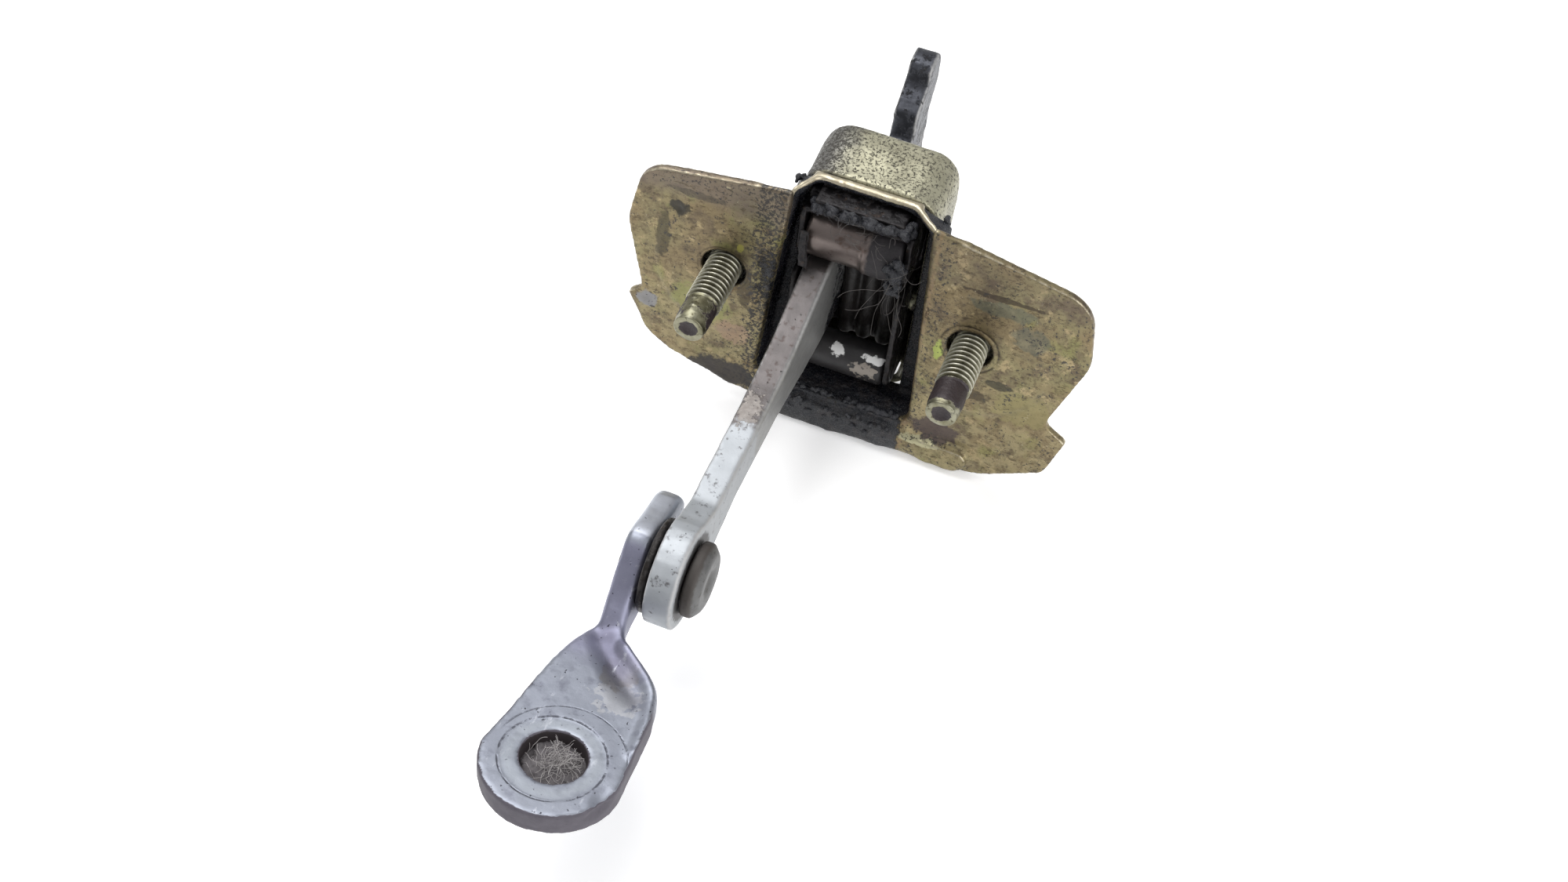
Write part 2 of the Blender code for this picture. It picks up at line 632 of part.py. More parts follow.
# The bracket's flange, from inside the pad to the ear's end: x, y, top z, bottom z. It
# leaves the pad along a diagonal fold, turns to run along Y and rises into the ear.
FLANGE_LINE = [
    (-2.6, -82.0, -9.9, -14.0),
    (-2.2, -78.5, -10.0, -14.5),
    (-3.0, -75.3, -10.4, -15.0),
    (-5.2, -72.9, -10.7, -15.4),
    (-8.0, -70.7, -10.9, -15.8),
    (-10.6, -68.3, -11.1, -16.3),
    (-12.1, -65.4, -11.2, -16.9),
    (EAR_X, -62.0, -9.0, -17.2),
    (EAR_X, -59.0, -5.9, -17.0),
    (EAR_X, -56.3, -3.2, -16.6),
    (EAR_X, -53.8, -2.6, -16.4),
    (EAR_X, -48.0, -4.3, -17.0),
    (EAR_X, EAR_END, -6.0, -17.6),
]
FLANGE_ROUNDING = 1.1
FLANGE_STEPS = 4


def pad_outline():
    """The pad seen from above, round in front and drawn in towards the neck behind."""
    front = [
        (HOLE_X + PAD_R * math.sin(math.radians(a)), HOLE_Y - PAD_R * math.cos(math.radians(a)), 0)
        for a in range(-84, 85, 12)
    ]
    return front + [
        (0.3, -84.0, 0), (0.1, -79.5, 0), (-1.2, -75.6, 0), (-4.4, -72.4, 0), (-9.0, -69.0, 0),
        (-12.0, -65.2, 0), (-14.0, -64.6, 0), (-15.3, -67.3, 0), (-16.5, -70.2, 0),
        (-17.6, -75.1, 0), (-18.2, -80.2, 0), (-18.9, -86.7, 0),
    ]


def flange_sections():
    """Centre, heading, top and bottom along the flange, on a smooth curve through its line."""
    found = []
    last = len(FLANGE_LINE) - 1
    for i in range(last):
        ends = [Vector(FLANGE_LINE[k]) for k in (max(i - 1, 0), i, i + 1, min(i + 2, last))]
        leaving = (ends[2] - ends[0]) / 2
        arriving = (ends[3] - ends[1]) / 2
        for k in range(FLANGE_STEPS):
            t = k / FLANGE_STEPS
            here = (
                ends[1] * (2 * t**3 - 3 * t**2 + 1) + leaving * (t**3 - 2 * t**2 + t)
                + ends[2] * (3 * t**2 - 2 * t**3) + arriving * (t**3 - t**2)
            )
            along = (
                ends[1] * (6 * t**2 - 6 * t) + leaving * (3 * t**2 - 4 * t + 1)
                + ends[2] * (6 * t - 6 * t**2) + arriving * (3 * t**2 - 2 * t)
            )
            found.append((here, Vector((along.x, along.y)).normalized()))
    found.append((Vector(FLANGE_LINE[-1]), Vector((0, 1))))
    return found


def make_flange():
    """The folded strip that stands on the pad's edge and becomes the ear."""

    def build(bm):
        rings = []
        for here, heading in flange_sections():
            high = here[2]
            low = here[3]
            reach = EAR_END + 0.3 - here.y
            if reach < EAR_ROUNDING:
                draw_in = 1 - math.sqrt(1 - (1 - reach / EAR_ROUNDING) ** 2)
                high -= draw_in * EAR_ROUNDING
                low += draw_in * EAR_ROUNDING
            corners = [
                (EAR_THICK / 2, high, FLANGE_ROUNDING), (-EAR_THICK / 2, high, FLANGE_ROUNDING),
                (-EAR_THICK / 2, low, FLANGE_ROUNDING), (EAR_THICK / 2, low, FLANGE_ROUNDING),
            ]
            side = Vector((heading.y, -heading.x))
            ring = []
            for across, z in rounded(corners, 3):
                ring.append(bm.verts.new((here.x + side.x * across, here.y + side.y * across, z)))
            rings.append(ring)
        for before, after in zip(rings, rings[1:]):
            for k in range(len(before)):
                j = (k + 1) % len(before)
                bm.faces.new((before[k], before[j], after[j], after[k]))
        bm.faces.new(rings[0])
        bm.faces.new(rings[-1])

    return object_from("flange", build, None)


def make_pillar_bracket():
    """The pad, tilted so that its far end is lower, joined to the flange and its ear."""
    half = BRACKET_THICK / 2
    bracket = slab("pillar_bracket", pad_outline(), -half, half, "Z", BRACKET_ZINC)
    tilt = Matrix.Identity(4)
    tilt[2][1] = -math.tan(PAD_TILT)
    tilt[2][3] = (PAD_MIDDLE + HOLE_Y * math.tan(PAD_TILT)) * MM
    bracket.data.transform(tilt)
    boolean(bracket, make_flange(), "UNION", "MANIFOLD")
    bolt = cylinder(
        "bolt_hole", HOLE_R, HOLE_X, HOLE_Y, (PAD_MIDDLE - 9, PAD_MIDDLE + 9), axis="Z",
        turn=-PAD_TILT,
    )
    boolean(bracket, bolt, "DIFFERENCE", "MANIFOLD")
    eye = cylinder("ear_eye", RIVET_R + RIVET_RUNNING, (EAR_X - 5, EAR_X + 5), PIVOT_Y, PIVOT_Z)
    boolean(bracket, eye, "DIFFERENCE", "MANIFOLD")
    left = EAR_X - EAR_THICK / 2
    wide = RIVET_FLARE_R + RIVET_RUNNING
    sink = [
        (left - 1, 0), (left - 1, wide), (left, wide),
        (left + RIVET_FLARE, RIVET_R + RIVET_RUNNING), (left + RIVET_FLARE, 0),
    ]
    boolean(bracket, turned("ear_sink", sink, (0, PIVOT_Y, PIVOT_Z), None), "DIFFERENCE", "MANIFOLD")
    smooth(bracket)
    set_origin(bracket, (EAR_X, PIVOT_Y, PIVOT_Z))


make_mounting_plate()
make_stud_carrier()
make_studs()
make_housing_cup()
make_rear_buffer()
make_trunnions()
make_roller_cage()
make_arm_guide()
make_lower_roller()
make_upper_carrier()
make_upper_roller()
make_leaf_spring()
make_check_arm()
make_rivet()
make_pillar_bracket()
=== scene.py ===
"""The looks of the door check: refined copies of the frame's pieces, threads, grease and fibres.

Shapes are worked in millimetres and turned into metres at the end of each piece's making.
"""

import math

import bmesh
import bpy
import numpy as np
from mathutils import Matrix, Vector


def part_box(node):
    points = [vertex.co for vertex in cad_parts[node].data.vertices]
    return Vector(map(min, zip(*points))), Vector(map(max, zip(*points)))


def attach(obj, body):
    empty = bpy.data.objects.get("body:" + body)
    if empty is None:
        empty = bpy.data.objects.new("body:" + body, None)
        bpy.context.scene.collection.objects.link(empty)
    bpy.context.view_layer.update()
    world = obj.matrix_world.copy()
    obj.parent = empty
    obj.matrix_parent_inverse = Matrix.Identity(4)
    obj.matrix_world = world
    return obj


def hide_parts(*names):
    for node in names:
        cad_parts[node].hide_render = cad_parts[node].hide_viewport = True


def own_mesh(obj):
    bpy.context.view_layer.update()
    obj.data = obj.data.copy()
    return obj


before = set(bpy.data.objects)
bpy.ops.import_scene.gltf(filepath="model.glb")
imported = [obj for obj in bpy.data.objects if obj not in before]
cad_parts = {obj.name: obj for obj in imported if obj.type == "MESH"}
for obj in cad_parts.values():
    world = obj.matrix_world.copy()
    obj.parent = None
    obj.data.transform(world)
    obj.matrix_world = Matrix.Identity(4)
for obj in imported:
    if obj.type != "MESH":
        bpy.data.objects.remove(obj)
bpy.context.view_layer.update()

MM = 0.001


def corners(node):
    """The low and high corners of a node's box, in millimetres."""
    low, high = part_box(node)
    return np.array(low) / MM, np.array(high) / MM


def middle(node):
    low, high = corners(node)
    return (low + high) / 2


# Places in millimetres that the looks are hung on.
PLATE_LOW = corners("mounting_plate")[0]
CUP_LOW, CUP_HIGH = corners("housing_cup")
PIVOT = middle("pivot_rivet")
LEFT_STUD = middle("left_stud")[0]
RIGHT_STUD = middle("right_stud")[0]
ROLLER = middle("upper_roller")
HOLE = np.array((-9.6, -92.0, -10.25))
PAD_SLOPE = math.tan(math.radians(9.0))
FLOOR_DROP = 0.3
# On the bracket's pad, seen from above: the hollow beside the folded flange, and the flange's rim.
CREASE = ((-12.3, -67.2), (-10.1, -70.5), (-7.6, -73.5), (-5.1, -75.9), (-2.7, -77.9))
RIM = ((-8.2, -68.4), (-4.5, -70.8), (-1.4, -74.6), (0.1, -80.1), (0.6, -86.0))


# ---- numbers on points


def lattice(cells, seed):
    """A repeatable number from 0 to 1 for each whole-number cell."""
    x, y, z = (cells[:, k].astype(np.int64) for k in range(3))
    mixed = (x * 374761393 + y * 668265263 + z * 1274126177 + seed * 1442695041) & 0xFFFFFFFF
    mixed = ((mixed ^ (mixed >> 13)) * 1274126177) & 0xFFFFFFFF
    return (mixed ^ (mixed >> 16)).astype(np.float64) / 0xFFFFFFFF


def lumps(points, size, octaves=2, seed=0):
    """Smooth noise from -1 to 1 whose largest lumps are about size across."""
    total = np.zeros(len(points))
    share = 1.0
    weight = 0.0
    for octave in range(octaves):
        scaled = points / (size / 2**octave) + 31.7 * octave
        whole = np.floor(scaled).astype(np.int64)
        part = scaled - whole
        part = part * part * (3 - 2 * part)
        value = np.zeros(len(points))
        for corner in range(8):
            step = np.array([corner & 1, (corner >> 1) & 1, (corner >> 2) & 1])
            near = np.where(step, part, 1 - part).prod(axis=1)
            value += near * lattice(whole + step, seed + octave)
        total += share * (2 * value - 1)
        weight += share
        share *= 0.5
    return total / weight


def ease(value, low, high):
    """0 below low, 1 above high, and smooth between. It runs the other way if low > high."""
    t = np.clip((value - low) / (high - low), 0, 1)
    return t * t * (3 - 2 * t)


def within(value, low, high, soft):
    return ease(value, low - soft, low + soft) * ease(value, high + soft, high - soft)


def off_path(points, path):
    """How far each point lies, seen from above, from a broken line of (x, y) places."""
    nearest = np.full(len(points), np.inf)
    for start, end in zip(path, path[1:]):
        along = np.array(end) - start
        offset = points[:, :2] - start
        share = np.clip(offset @ along / (along @ along), 0, 1)
        nearest = np.minimum(nearest, np.linalg.norm(offset - share[:, None] * along, axis=1))
    return nearest


def blob(points, centre, radii):
    """1 at centre, falling smoothly to 0 on the ellipsoid of those radii."""
    reach = np.linalg.norm((points - np.array(centre)) / np.array(radii), axis=1)
    return ease(reach, 1.0, 0.0)


# ---- meshes


class Shape:
    """A mesh's points, in millimetres, with what sculpting them needs.

    The points move in place, so that x, y and z stay views of them.
    """

    def __init__(self, mesh):
        self.mesh = mesh
        count = len(mesh.vertices)
        flat = np.empty(count * 3, np.float32)
        mesh.vertices.foreach_get("co", flat)
        self.co = flat.reshape(-1, 3).astype(np.float64)
        self.x, self.y, self.z = self.co.T
        ends = np.empty(len(mesh.edges) * 2, np.int32)
        mesh.edges.foreach_get("vertices", ends)
        self.a, self.b = ends.reshape(-1, 2).T
        self.links = np.maximum(np.bincount(ends, minlength=count), 1)

    def around(self, values):
        """The mean of each point's neighbours' values."""
        count = len(self.links)
        total = np.bincount(self.a, values[self.b], count) + np.bincount(self.b, values[self.a], count)
        return total / self.links

    def relax(self, rounds, amount=0.5):
        for _ in range(rounds):
            means = np.stack([self.around(self.co[:, k]) for k in range(3)], axis=1)
            step = (means - self.co) * (amount if np.isscalar(amount) else amount[:, None])
            self.co += step

    def normals(self):
        self.store()
        flat = np.empty(len(self.co) * 3, np.float32)
        self.mesh.vertex_normals.foreach_get("vector", flat)
        return flat.reshape(-1, 3).astype(np.float64)

    def push(self, distance):
        self.co += self.normals() * distance[:, None]

    def store(self):
        self.mesh.vertices.foreach_set("co", self.co.astype(np.float32).ravel())
        self.mesh.update()

    def edge_wear(self, rounds=10, full=0.22):
        """From 0 on flats and in hollows to 1 on outer edges."""
        kept = self.co.copy()
        facing = self.normals()
        self.relax(rounds)
        out = ((kept - self.co) * facing).sum(axis=1)
        self.co[:] = kept
        return np.clip(out / full, 0, 1)

    def paint(self, name, values):
        layer = self.mesh.attributes.new(name, "FLOAT", "POINT")
        layer.data.foreach_set("value", np.asarray(values, np.float32))


def placed(name, data):
    """A new object in the scene that shows the data."""
    made = bpy.data.objects.new(name, data)
    bpy.context.scene.collection.objects.link(made)
    return made


def mesh_of(bm, name):
    mesh = bpy.data.meshes.new(name)
    bm.to_mesh(mesh)
    bm.free()
    return mesh


def remeshed(mesh, voxel):
    """The mesh rebuilt from even cells, all in millimetres."""
    drawn = placed("remesh", mesh)
    cells = drawn.modifiers.new("cells", "REMESH")
    cells.mode = "VOXEL"
    cells.voxel_size = voxel
    bpy.context.view_layer.update()
    made = bpy.data.meshes.new_from_object(
        drawn.evaluated_get(bpy.context.evaluated_depsgraph_get())
    )
    bpy.data.objects.remove(drawn)
    return made


def finished(name, mesh, body, slot, finish=None, nodes=()):
    """Turns a millimetre mesh into a shown piece that rides on a body.

    The finish is named as the slot is, unless it is given.
    """
    mesh.transform(Matrix.Scale(MM, 4))
    mesh.shade_smooth()
    mesh.materials.clear()
    mesh.materials.append(FINISH[finish or slot])
    piece = placed(name, mesh)
    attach(piece, body)
    if nodes:
        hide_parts(*nodes)
    return piece


def refined(name, node, body, slot, voxel, rounds, sculpt, top_edge_highlight=0.0):
    """A finer copy of a CAD node, with soft edges and whatever sculpt adds.

    The last argument is how far the pale paint on its edges keeps to those that face up: a painted
    highlight where light from above falls, laid over the wear.
    """
    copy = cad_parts[node].data.copy()
    copy.attributes.update()
    copy.transform(Matrix.Scale(1 / MM, 4))
    mesh = remeshed(copy, voxel * (1))
    shape = Shape(mesh)
    shape.relax(rounds)
    sculpt(shape)
    # Up-facing edges keep more of the pale edge paint: a painted highlight.
    facing_up = ease(shape.normals()[:, 2], 0.0, 0.6)
    shape.paint("edge", shape.edge_wear() * (1 - top_edge_highlight + top_edge_highlight * facing_up))
    shape.store()
    return finished(name, mesh, body, slot, nodes=[node])


def revolved(name, node, body, slot, profile, ripple, around=96, grease=0.0, finish=None):
    """A piece turned about its node's X line, from (along, radius) pairs with points added between."""
    place = (0, *middle(node)[1:])
    fine = []
    for (s0, r0), (s1, r1) in zip(profile, profile[1:]):
        steps = max(1, int(math.hypot(s1 - s0, r1 - r0) / 0.25))
        fine += [(s0 + (s1 - s0) * k / steps, r0 + (r1 - r0) * k / steps) for k in range(steps)]
    fine.append(profile[-1])
    closed = profile[0][1] > 0
    bm = bmesh.new()
    rings = []
    for along, radius in fine:
        if radius < 1e-6:
            rings.append([bm.verts.new(swung(along, 0, 0, place))])
            continue
        turns = [2 * math.pi * k / around for k in range(around)]
        rings.append([bm.verts.new(swung(along, radius, turn, place)) for turn in turns])
    pairs = list(zip(rings, rings[1:]))
    if closed:
        pairs.append((rings[-1], rings[0]))
    for before, after in pairs:
        bridge(bm, before, after)
    bmesh.ops.recalc_face_normals(bm, faces=bm.faces)
    mesh = mesh_of(bm, name)
    shape = Shape(mesh)
    shape.relax(3)
    shape.push(ripple * lumps(shape.co, 1.6, 3, len(name)))
    greased_by(grease)(shape)
    shape.store()
    shape.paint("edge", shape.edge_wear(6, 0.12))
    return finished(name, mesh, body, slot, finish, [node])


def swung(along, radius, angle, place):
    return Vector(place) + Vector((along, radius * math.cos(angle), radius * math.sin(angle)))


def bridge(bm, before, after):
    if len(before) == 1 and len(after) == 1:
        return
    if len(before) == 1 or len(after) == 1:
        tip, ring = (before[0], after) if len(before) == 1 else (after[0], before)
        for k in range(len(ring)):
            bm.faces.new((tip, ring[k], ring[(k + 1) % len(ring)]))
        return
    for k in range(len(before)):
        j = (k + 1) % len(before)
        bm.faces.new((before[k], before[j], after[j], after[k]))


# ---- materials


def tone(red, green, blue):
    """A display colour from 0 to 255 as the linear colour that a shader takes."""
    def linear(value):
        value /= 255
        return value / 12.92 if value <= 0.04045 else ((value + 0.055) / 1.055) ** 2.4
    return (linear(red), linear(green), linear(blue), 1.0)


class Graph:
    """A material's node tree, read in millimetres, with a method for each kind of step."""

    def __init__(self, name):
        self.material = bpy.data.materials.new(name)
        self.material.use_nodes = True
        self.tree = self.material.node_tree
        self.shader = self.tree.nodes["Principled BSDF"]
        place = self.add("TexCoord").outputs["Object"]
        self.place = self.vector("SCALE", place, scale=1 / MM)
        split = self.add("SeparateXYZ", {0: self.place})
        self.x, self.y, self.z = split.outputs
        self.colour = None

    def add(self, kind, inputs=None, **settings):
        """A new node; inputs gives its sockets' values or links, by name or number."""
        node = self.tree.nodes.new("ShaderNode" + kind)
        for key, value in settings.items():
            setattr(node, key, value)
        for key, value in (inputs or {}).items():
            self.join(node.inputs[key], value)
        return node

    def join(self, socket, value):
        if isinstance(value, bpy.types.NodeSocket):
            self.tree.links.new(value, socket)
        else:
            socket.default_value = value

    def vector(self, operation, first, second=(0, 0, 0), scale=1.0):
        node = self.add("VectorMath", {0: first, 1: second, 3: scale}, operation=operation)
        return node.outputs["Value" if operation == "LENGTH" else "Vector"]

    def math(self, operation, first, second):
        return self.add("Math", {0: first, 1: second}, operation=operation).outputs[0]

    def noise(self, size, seed=0, detail=4, rough=0.55, stretch=(1, 1, 1)):
        """Noise from 0 to 1 whose features are about size millimetres across."""
        scaled = self.vector("MULTIPLY", self.place, tuple(k / size for k in stretch))
        moved = self.vector("ADD", scaled, (seed * 17.3, seed * 5.1, seed * 9.7))
        inputs = {"Vector": moved, "Scale": 1.0, "Detail": detail, "Roughness": rough}
        return self.add("TexNoise", inputs).outputs[0]

    def cloud(self, low, high, *noise):
        """Patches of noise: 0 where it is below low, 1 above high."""
        return self.step(self.noise(*noise), low, high)

    def uneven(self, value, amount, *noise):
        return self.math("ADD", value, self.both(self.noise(*noise), amount))

    def ragged(self, value, amount, *noise):
        """Uneven by as much below the value as above it."""
        centred = self.math("SUBTRACT", self.noise(*noise), 0.5)
        return self.math("ADD", value, self.both(centred, amount))

    def step(self, value, low, high):
        """0 below low, 1 above high, smooth between; it runs the other way if low > high."""
        start, end = (1.0, 0.0) if low > high else (0.0, 1.0)
        inputs = {"Value": value, "From Min": min(low, high), "From Max": max(low, high)}
        inputs.update({"To Min": start, "To Max": end})
        return self.add("MapRange", inputs, interpolation_type="SMOOTHSTEP").outputs["Result"]

    def both(self, first, *others):
        for other in others:
            first = self.math("MULTIPLY", first, other)
        return first

    def either(self, first, *others):
        for other in others:
            first = self.math("MAXIMUM", first, other)
        return first

    def blend(self, factor, first, second):
        """The first colour where factor is 0, the second where it is 1."""
        first, second = (tone(*c) if isinstance(c, tuple) else c for c in (first, second))
        return self.add("Mix", {0: factor, 6: first, 7: second}, data_type="RGBA").outputs[2]

    def lay(self, mask, colour, strength=1):
        """Lays a colour over the material's own where the mask is."""
        factor = mask if strength == 1 else self.both(mask, strength)
        self.colour = self.blend(factor, self.colour, colour)

    def mix(self, factor, first, second):
        """As blend, for two numbers."""
        return self.add("Mix", {0: factor, 2: first, 3: second}, data_type="FLOAT").outputs[0]

    def painted(self, name):
        return self.add("Attribute", attribute_name=name).outputs["Fac"]

    def spot(self, centre, radii, ragged=0.35, seed=3, size=1.5):
        """A patch with a ragged edge: 1 inside an ellipsoid in millimetres, 0 outside."""
        offset = self.vector("SUBTRACT", self.place, tuple(centre))
        scaled = self.vector("DIVIDE", offset, tuple(radii))
        reach = self.vector("LENGTH", scaled)
        return self.step(self.ragged(reach, ragged * 4, size, seed, 5), 1.15, 0.85)

    def reach(self, centre, axis):
        """The distance from the line along an axis through centre."""
        offset = self.vector("SUBTRACT", self.place, tuple(centre))
        keep = tuple(0.0 if k == axis else 1.0 for k in range(3))
        return self.vector("LENGTH", self.vector("MULTIPLY", offset, keep))

    def near(self, value, middle, far, close):
        """1 within close of the middle value, fading to 0 at far."""
        return self.step(self.math("ABSOLUTE", self.math("SUBTRACT", value, middle), 0.0), far, close)

    def ring(self, centre, axis, radius, wide):
        """1 on a circle about an axis through centre, fading out wide to each side."""
        return self.near(self.reach(centre, axis), radius, wide, 0.0)

    def greasy(self, low, high, amount, *noise):
        """1 where the painted grease, made ragged by noise, is thick."""
        painted = self.painted("grease")
        thick = self.step(self.ragged(painted, amount, *noise), low, high)
        return self.both(thick, self.step(painted, 0.02, 0.1))

    def finish(self, rough, metal, height=None):
        inputs = {"Base Color": self.colour, "Roughness": rough, "Metallic": metal}
        if height is not None:
            bump = self.add("Bump", {"Distance": MM, "Strength": 1.0, "Height": height})
            inputs["Normal"] = bump.outputs["Normal"]
        for key, value in inputs.items():
            self.join(self.shader.inputs[key], value)
        return self.material


def greased(g, rough, metal, height, mask):
    """Lays black grease over what is there: glossy in its lumps, dull between them."""
    grain = g.noise(0.55, 11, 5, 0.7)
    lump = g.noise(1.6, 12, 3)
    g.lay(mask, g.blend(g.step(lump, 0.42, 0.7), (22, 24, 30), (44, 41, 42)))
    rough = g.mix(mask, rough, g.mix(g.step(grain, 0.35, 0.65), 0.12, 0.42))
    metal = g.mix(mask, metal, 0.0)
    thick = g.both(mask, g.math("ADD", g.both(grain, 0.3), g.both(lump, 0.3)))
    return rough, metal, g.math("ADD", height, thick)


def grain_height(g, fine=0.012, coarse=0.02, size=0.35):
    return g.math("ADD", g.both(g.noise(size, 21, 4, 0.6), fine), g.both(g.noise(2.2, 22, 3), coarse))


# Stains on the plate's front: centre, radii, display colour, strength.
STAINS = [
    ((-29.5, 0, 9.8), (1.9, 3, 1.3), (46, 46, 44), 0.85),
    ((-26.5, 0, 13.6), (4.6, 3, 0.8), (70, 66, 60), 0.6),
    ((-32.0, 0, 3.0), (1.3, 3, 4.8), (60, 56, 46), 0.7),
    ((-17.0, 0, -3.0), (1.3, 3, 4.5), (52, 46, 40), 0.7),
    ((-21.5, 0, -3.0), (2.8, 3, 1.9), (92, 76, 54), 0.7),
    ((-18.6, 0, 5.6), (0.6, 3, 0.9), (170, 164, 90), 0.9),
    ((-24.5, 0, -9.5), (5.5, 3, 3.4), (134, 134, 88), 0.75),
    ((-18.5, 0, -14.0), (3.0, 3, 2.4), (150, 128, 108), 0.7),
    ((-19.5, 0, -24.0), (6.0, 3, 2.8), (58, 56, 58), 0.9),
    ((-34.0, 0, -12.8), (1.8, 3, 1.8), (128, 128, 130), 0.9),
    ((25.0, 0, 10.5), (5.5, 3, 1.4), (96, 98, 84), 0.7),
    ((30.5, 0, 6.0), (3.2, 3, 2.4), (92, 94, 82), 0.65),
    ((16.2, 0, -2.2), (0.8, 3, 2.0), (160, 172, 92), 0.8),
    ((16.1, 0, -24.0), (3.4, 3, 0.8), (176, 172, 140), 0.9),
    ((24.5, 0, 12.6), (7.0, 3, 0.5), (62, 54, 46), 0.8),
    ((26.8, 0, -5.8), (2.6, 3, 0.9), (60, 58, 50), 0.8),
    ((23.0, 0, -9.5), (3.2, 3, 1.2), (70, 62, 50), 0.8),
    ((18.5, 0, -21.0), (4.5, 4, 2.6), (74, 64, 66), 0.85),
    ((32.0, 0, -10.0), (5.0, 3, 3.5), (136, 128, 88), 0.6),
]


def yellow_zinc():
    """Yellow passivated plate: gold and olive clouds, bright edges that are wear with a painted highlight
    on the up-facing ones, stains and speckle.
    """
    g = Graph("yellow_zinc_plate")
    g.colour = g.blend(g.cloud(0.4, 0.6, 9, 1, 3), (128, 114, 86), (133, 125, 92))
    g.lay(g.cloud(0.45, 0.68, 4.5, 2, 6, 0.65), (100, 88, 72))
    g.lay(g.cloud(0.54, 0.66, 3.2, 3, 6, 0.65), (166, 150, 114), 0.8)
    g.lay(g.cloud(0.56, 0.7, 6, 4, 4), (134, 133, 84), 0.6)
    g.lay(g.cloud(0.5, 0.62, 0.8, 17, 6, 0.72), (66, 57, 48), 0.5)
    upper = g.step(g.uneven(g.z, 4.0, 5, 5), 12.5, 16.5)
    upper = g.both(upper, g.mix(g.step(g.x, -5.0, 5.0), 0.7, 0.2))
    g.lay(upper, (106, 96, 88))
    low = g.step(g.uneven(g.z, 8.0, 6, 23, 4), 2.0, -8.0)
    g.lay(g.both(low, g.cloud(0.42, 0.6, 2.6, 24, 5)), (158, 147, 112), 0.55)
    g.lay(g.cloud(0.55, 0.62, 1.5, 25, 6, 0.72, (1, 1, 2.2)), (74, 64, 50), 0.7)
    rough = g.mix(g.noise(2.5, 6, 5), 0.3, 0.55)
    for k, (centre, radii, stain, strength) in enumerate(STAINS):
        g.lay(g.spot(centre, radii, 0.4, 30 + k), stain, strength)
    left, right = (LEFT_STUD, 0, 0), (RIGHT_STUD, 0, 0)
    ring = g.either(g.ring(right, 1, 4.9, 0.35), g.both(g.ring(left, 1, 4.4, 0.3), 0.5))
    ring = g.both(ring, g.step(g.y, 1.2, -0.2))
    g.lay(g.both(ring, g.cloud(0.35, 0.55, 1.4, 8)), (44, 38, 30), 0.8)
    g.lay(g.either(g.ring(right, 1, 3.4, 0.8), g.ring(left, 1, 3.4, 0.8)), (34, 28, 22))
    near_pocket = g.either(g.near(g.x, -14.2, 4.2, 1.2), g.both(g.near(g.x, 14.4, 2.2, 0.6), 0.6))
    field = g.either(g.both(g.cloud(0.45, 0.6, 7, 10, 4), 0.5), near_pocket)
    speck = g.math("ADD", g.noise(0.6, 9, 4, 0.7), g.both(field, 0.15))
    speck = g.step(speck, 0.62, 0.67)
    g.lay(speck, (30, 27, 26), 0.9)
    g.lay(g.both(g.cloud(0.66, 0.72, 0.7, 13, 2), g.cloud(0.5, 0.62, 5, 14)), (176, 166, 136), 0.5)
    fold_line = g.near(g.ragged(g.x, 1.6, 0.9, 19, 4), 13.0, 0.55, 0.2)
    fold_line = g.both(fold_line, g.step(g.y, 2.4, 1.4), g.cloud(0.4, 0.5, 1.8, 20))
    g.lay(fold_line, (140, 120, 92), 0.6)
    # Pale edges: wear, and on the up-facing edges a painted highlight as well.
    edge = g.uneven(g.either(g.painted("edge"), g.painted("worn")), 0.6, 1.0, 15, 6, 0.7)
    edge = g.step(edge, 0.66, 1.0)
    g.lay(edge, g.blend(g.noise(0.7, 18, 4), (150, 138, 110), (214, 206, 184)), 0.9)
    rough = g.mix(edge, rough, 0.32)
    metal = g.mix(speck, 0.8, 0.2)
    height = grain_height(g, 0.014, 0.03)
    height = g.math("SUBTRACT", height, g.both(ring, 0.06))
    mask = g.greasy(0.4, 0.6, 1.1, 1.0, 16, 6, 0.7)
    return g.finish(*greased(g, rough, metal, height, mask))


def pale_zinc():
    """The cup and the second sheet: pale yellow-green, densely speckled."""
    g = Graph("pale_zinc_plate")
    g.colour = g.blend(g.cloud(0.35, 0.65, 5, 1, 4), (170, 167, 144), (146, 143, 122))
    left = g.step(g.uneven(g.x, 4.0, 3, 2), -2.0, -8.0)
    g.lay(left, (108, 107, 108), 0.8)
    low = g.step(g.uneven(g.z, 5.0, 4, 3), 14.0, 4.0)
    g.lay(low, (104, 100, 84), 0.5)
    dense = g.mix(left, 0.53, 0.47)
    pit = g.math("SUBTRACT", g.noise(0.5, 4, 5, 0.8), dense)
    speck = g.step(pit, 0.0, 0.05)
    g.lay(speck, (48, 44, 36), 0.9)
    g.lay(g.cloud(0.58, 0.66, 2.6, 5, 6, 0.7), (70, 64, 48), 0.45)
    edge = g.step(g.uneven(g.painted("edge"), 0.4, 1.0, 6, 5), 0.5, 0.9)
    g.lay(edge, (190, 186, 156), 0.35)
    rough = g.mix(speck, 0.42, 0.62)
    metal = g.mix(speck, 0.72, 0.15)
    height = g.math("SUBTRACT", grain_height(g, 0.02, 0.05), g.both(speck, 0.06))
    mask = g.greasy(0.42, 0.6, 1.0, 1.2, 7, 6, 0.7)
    return g.finish(*greased(g, rough, metal, height, mask))


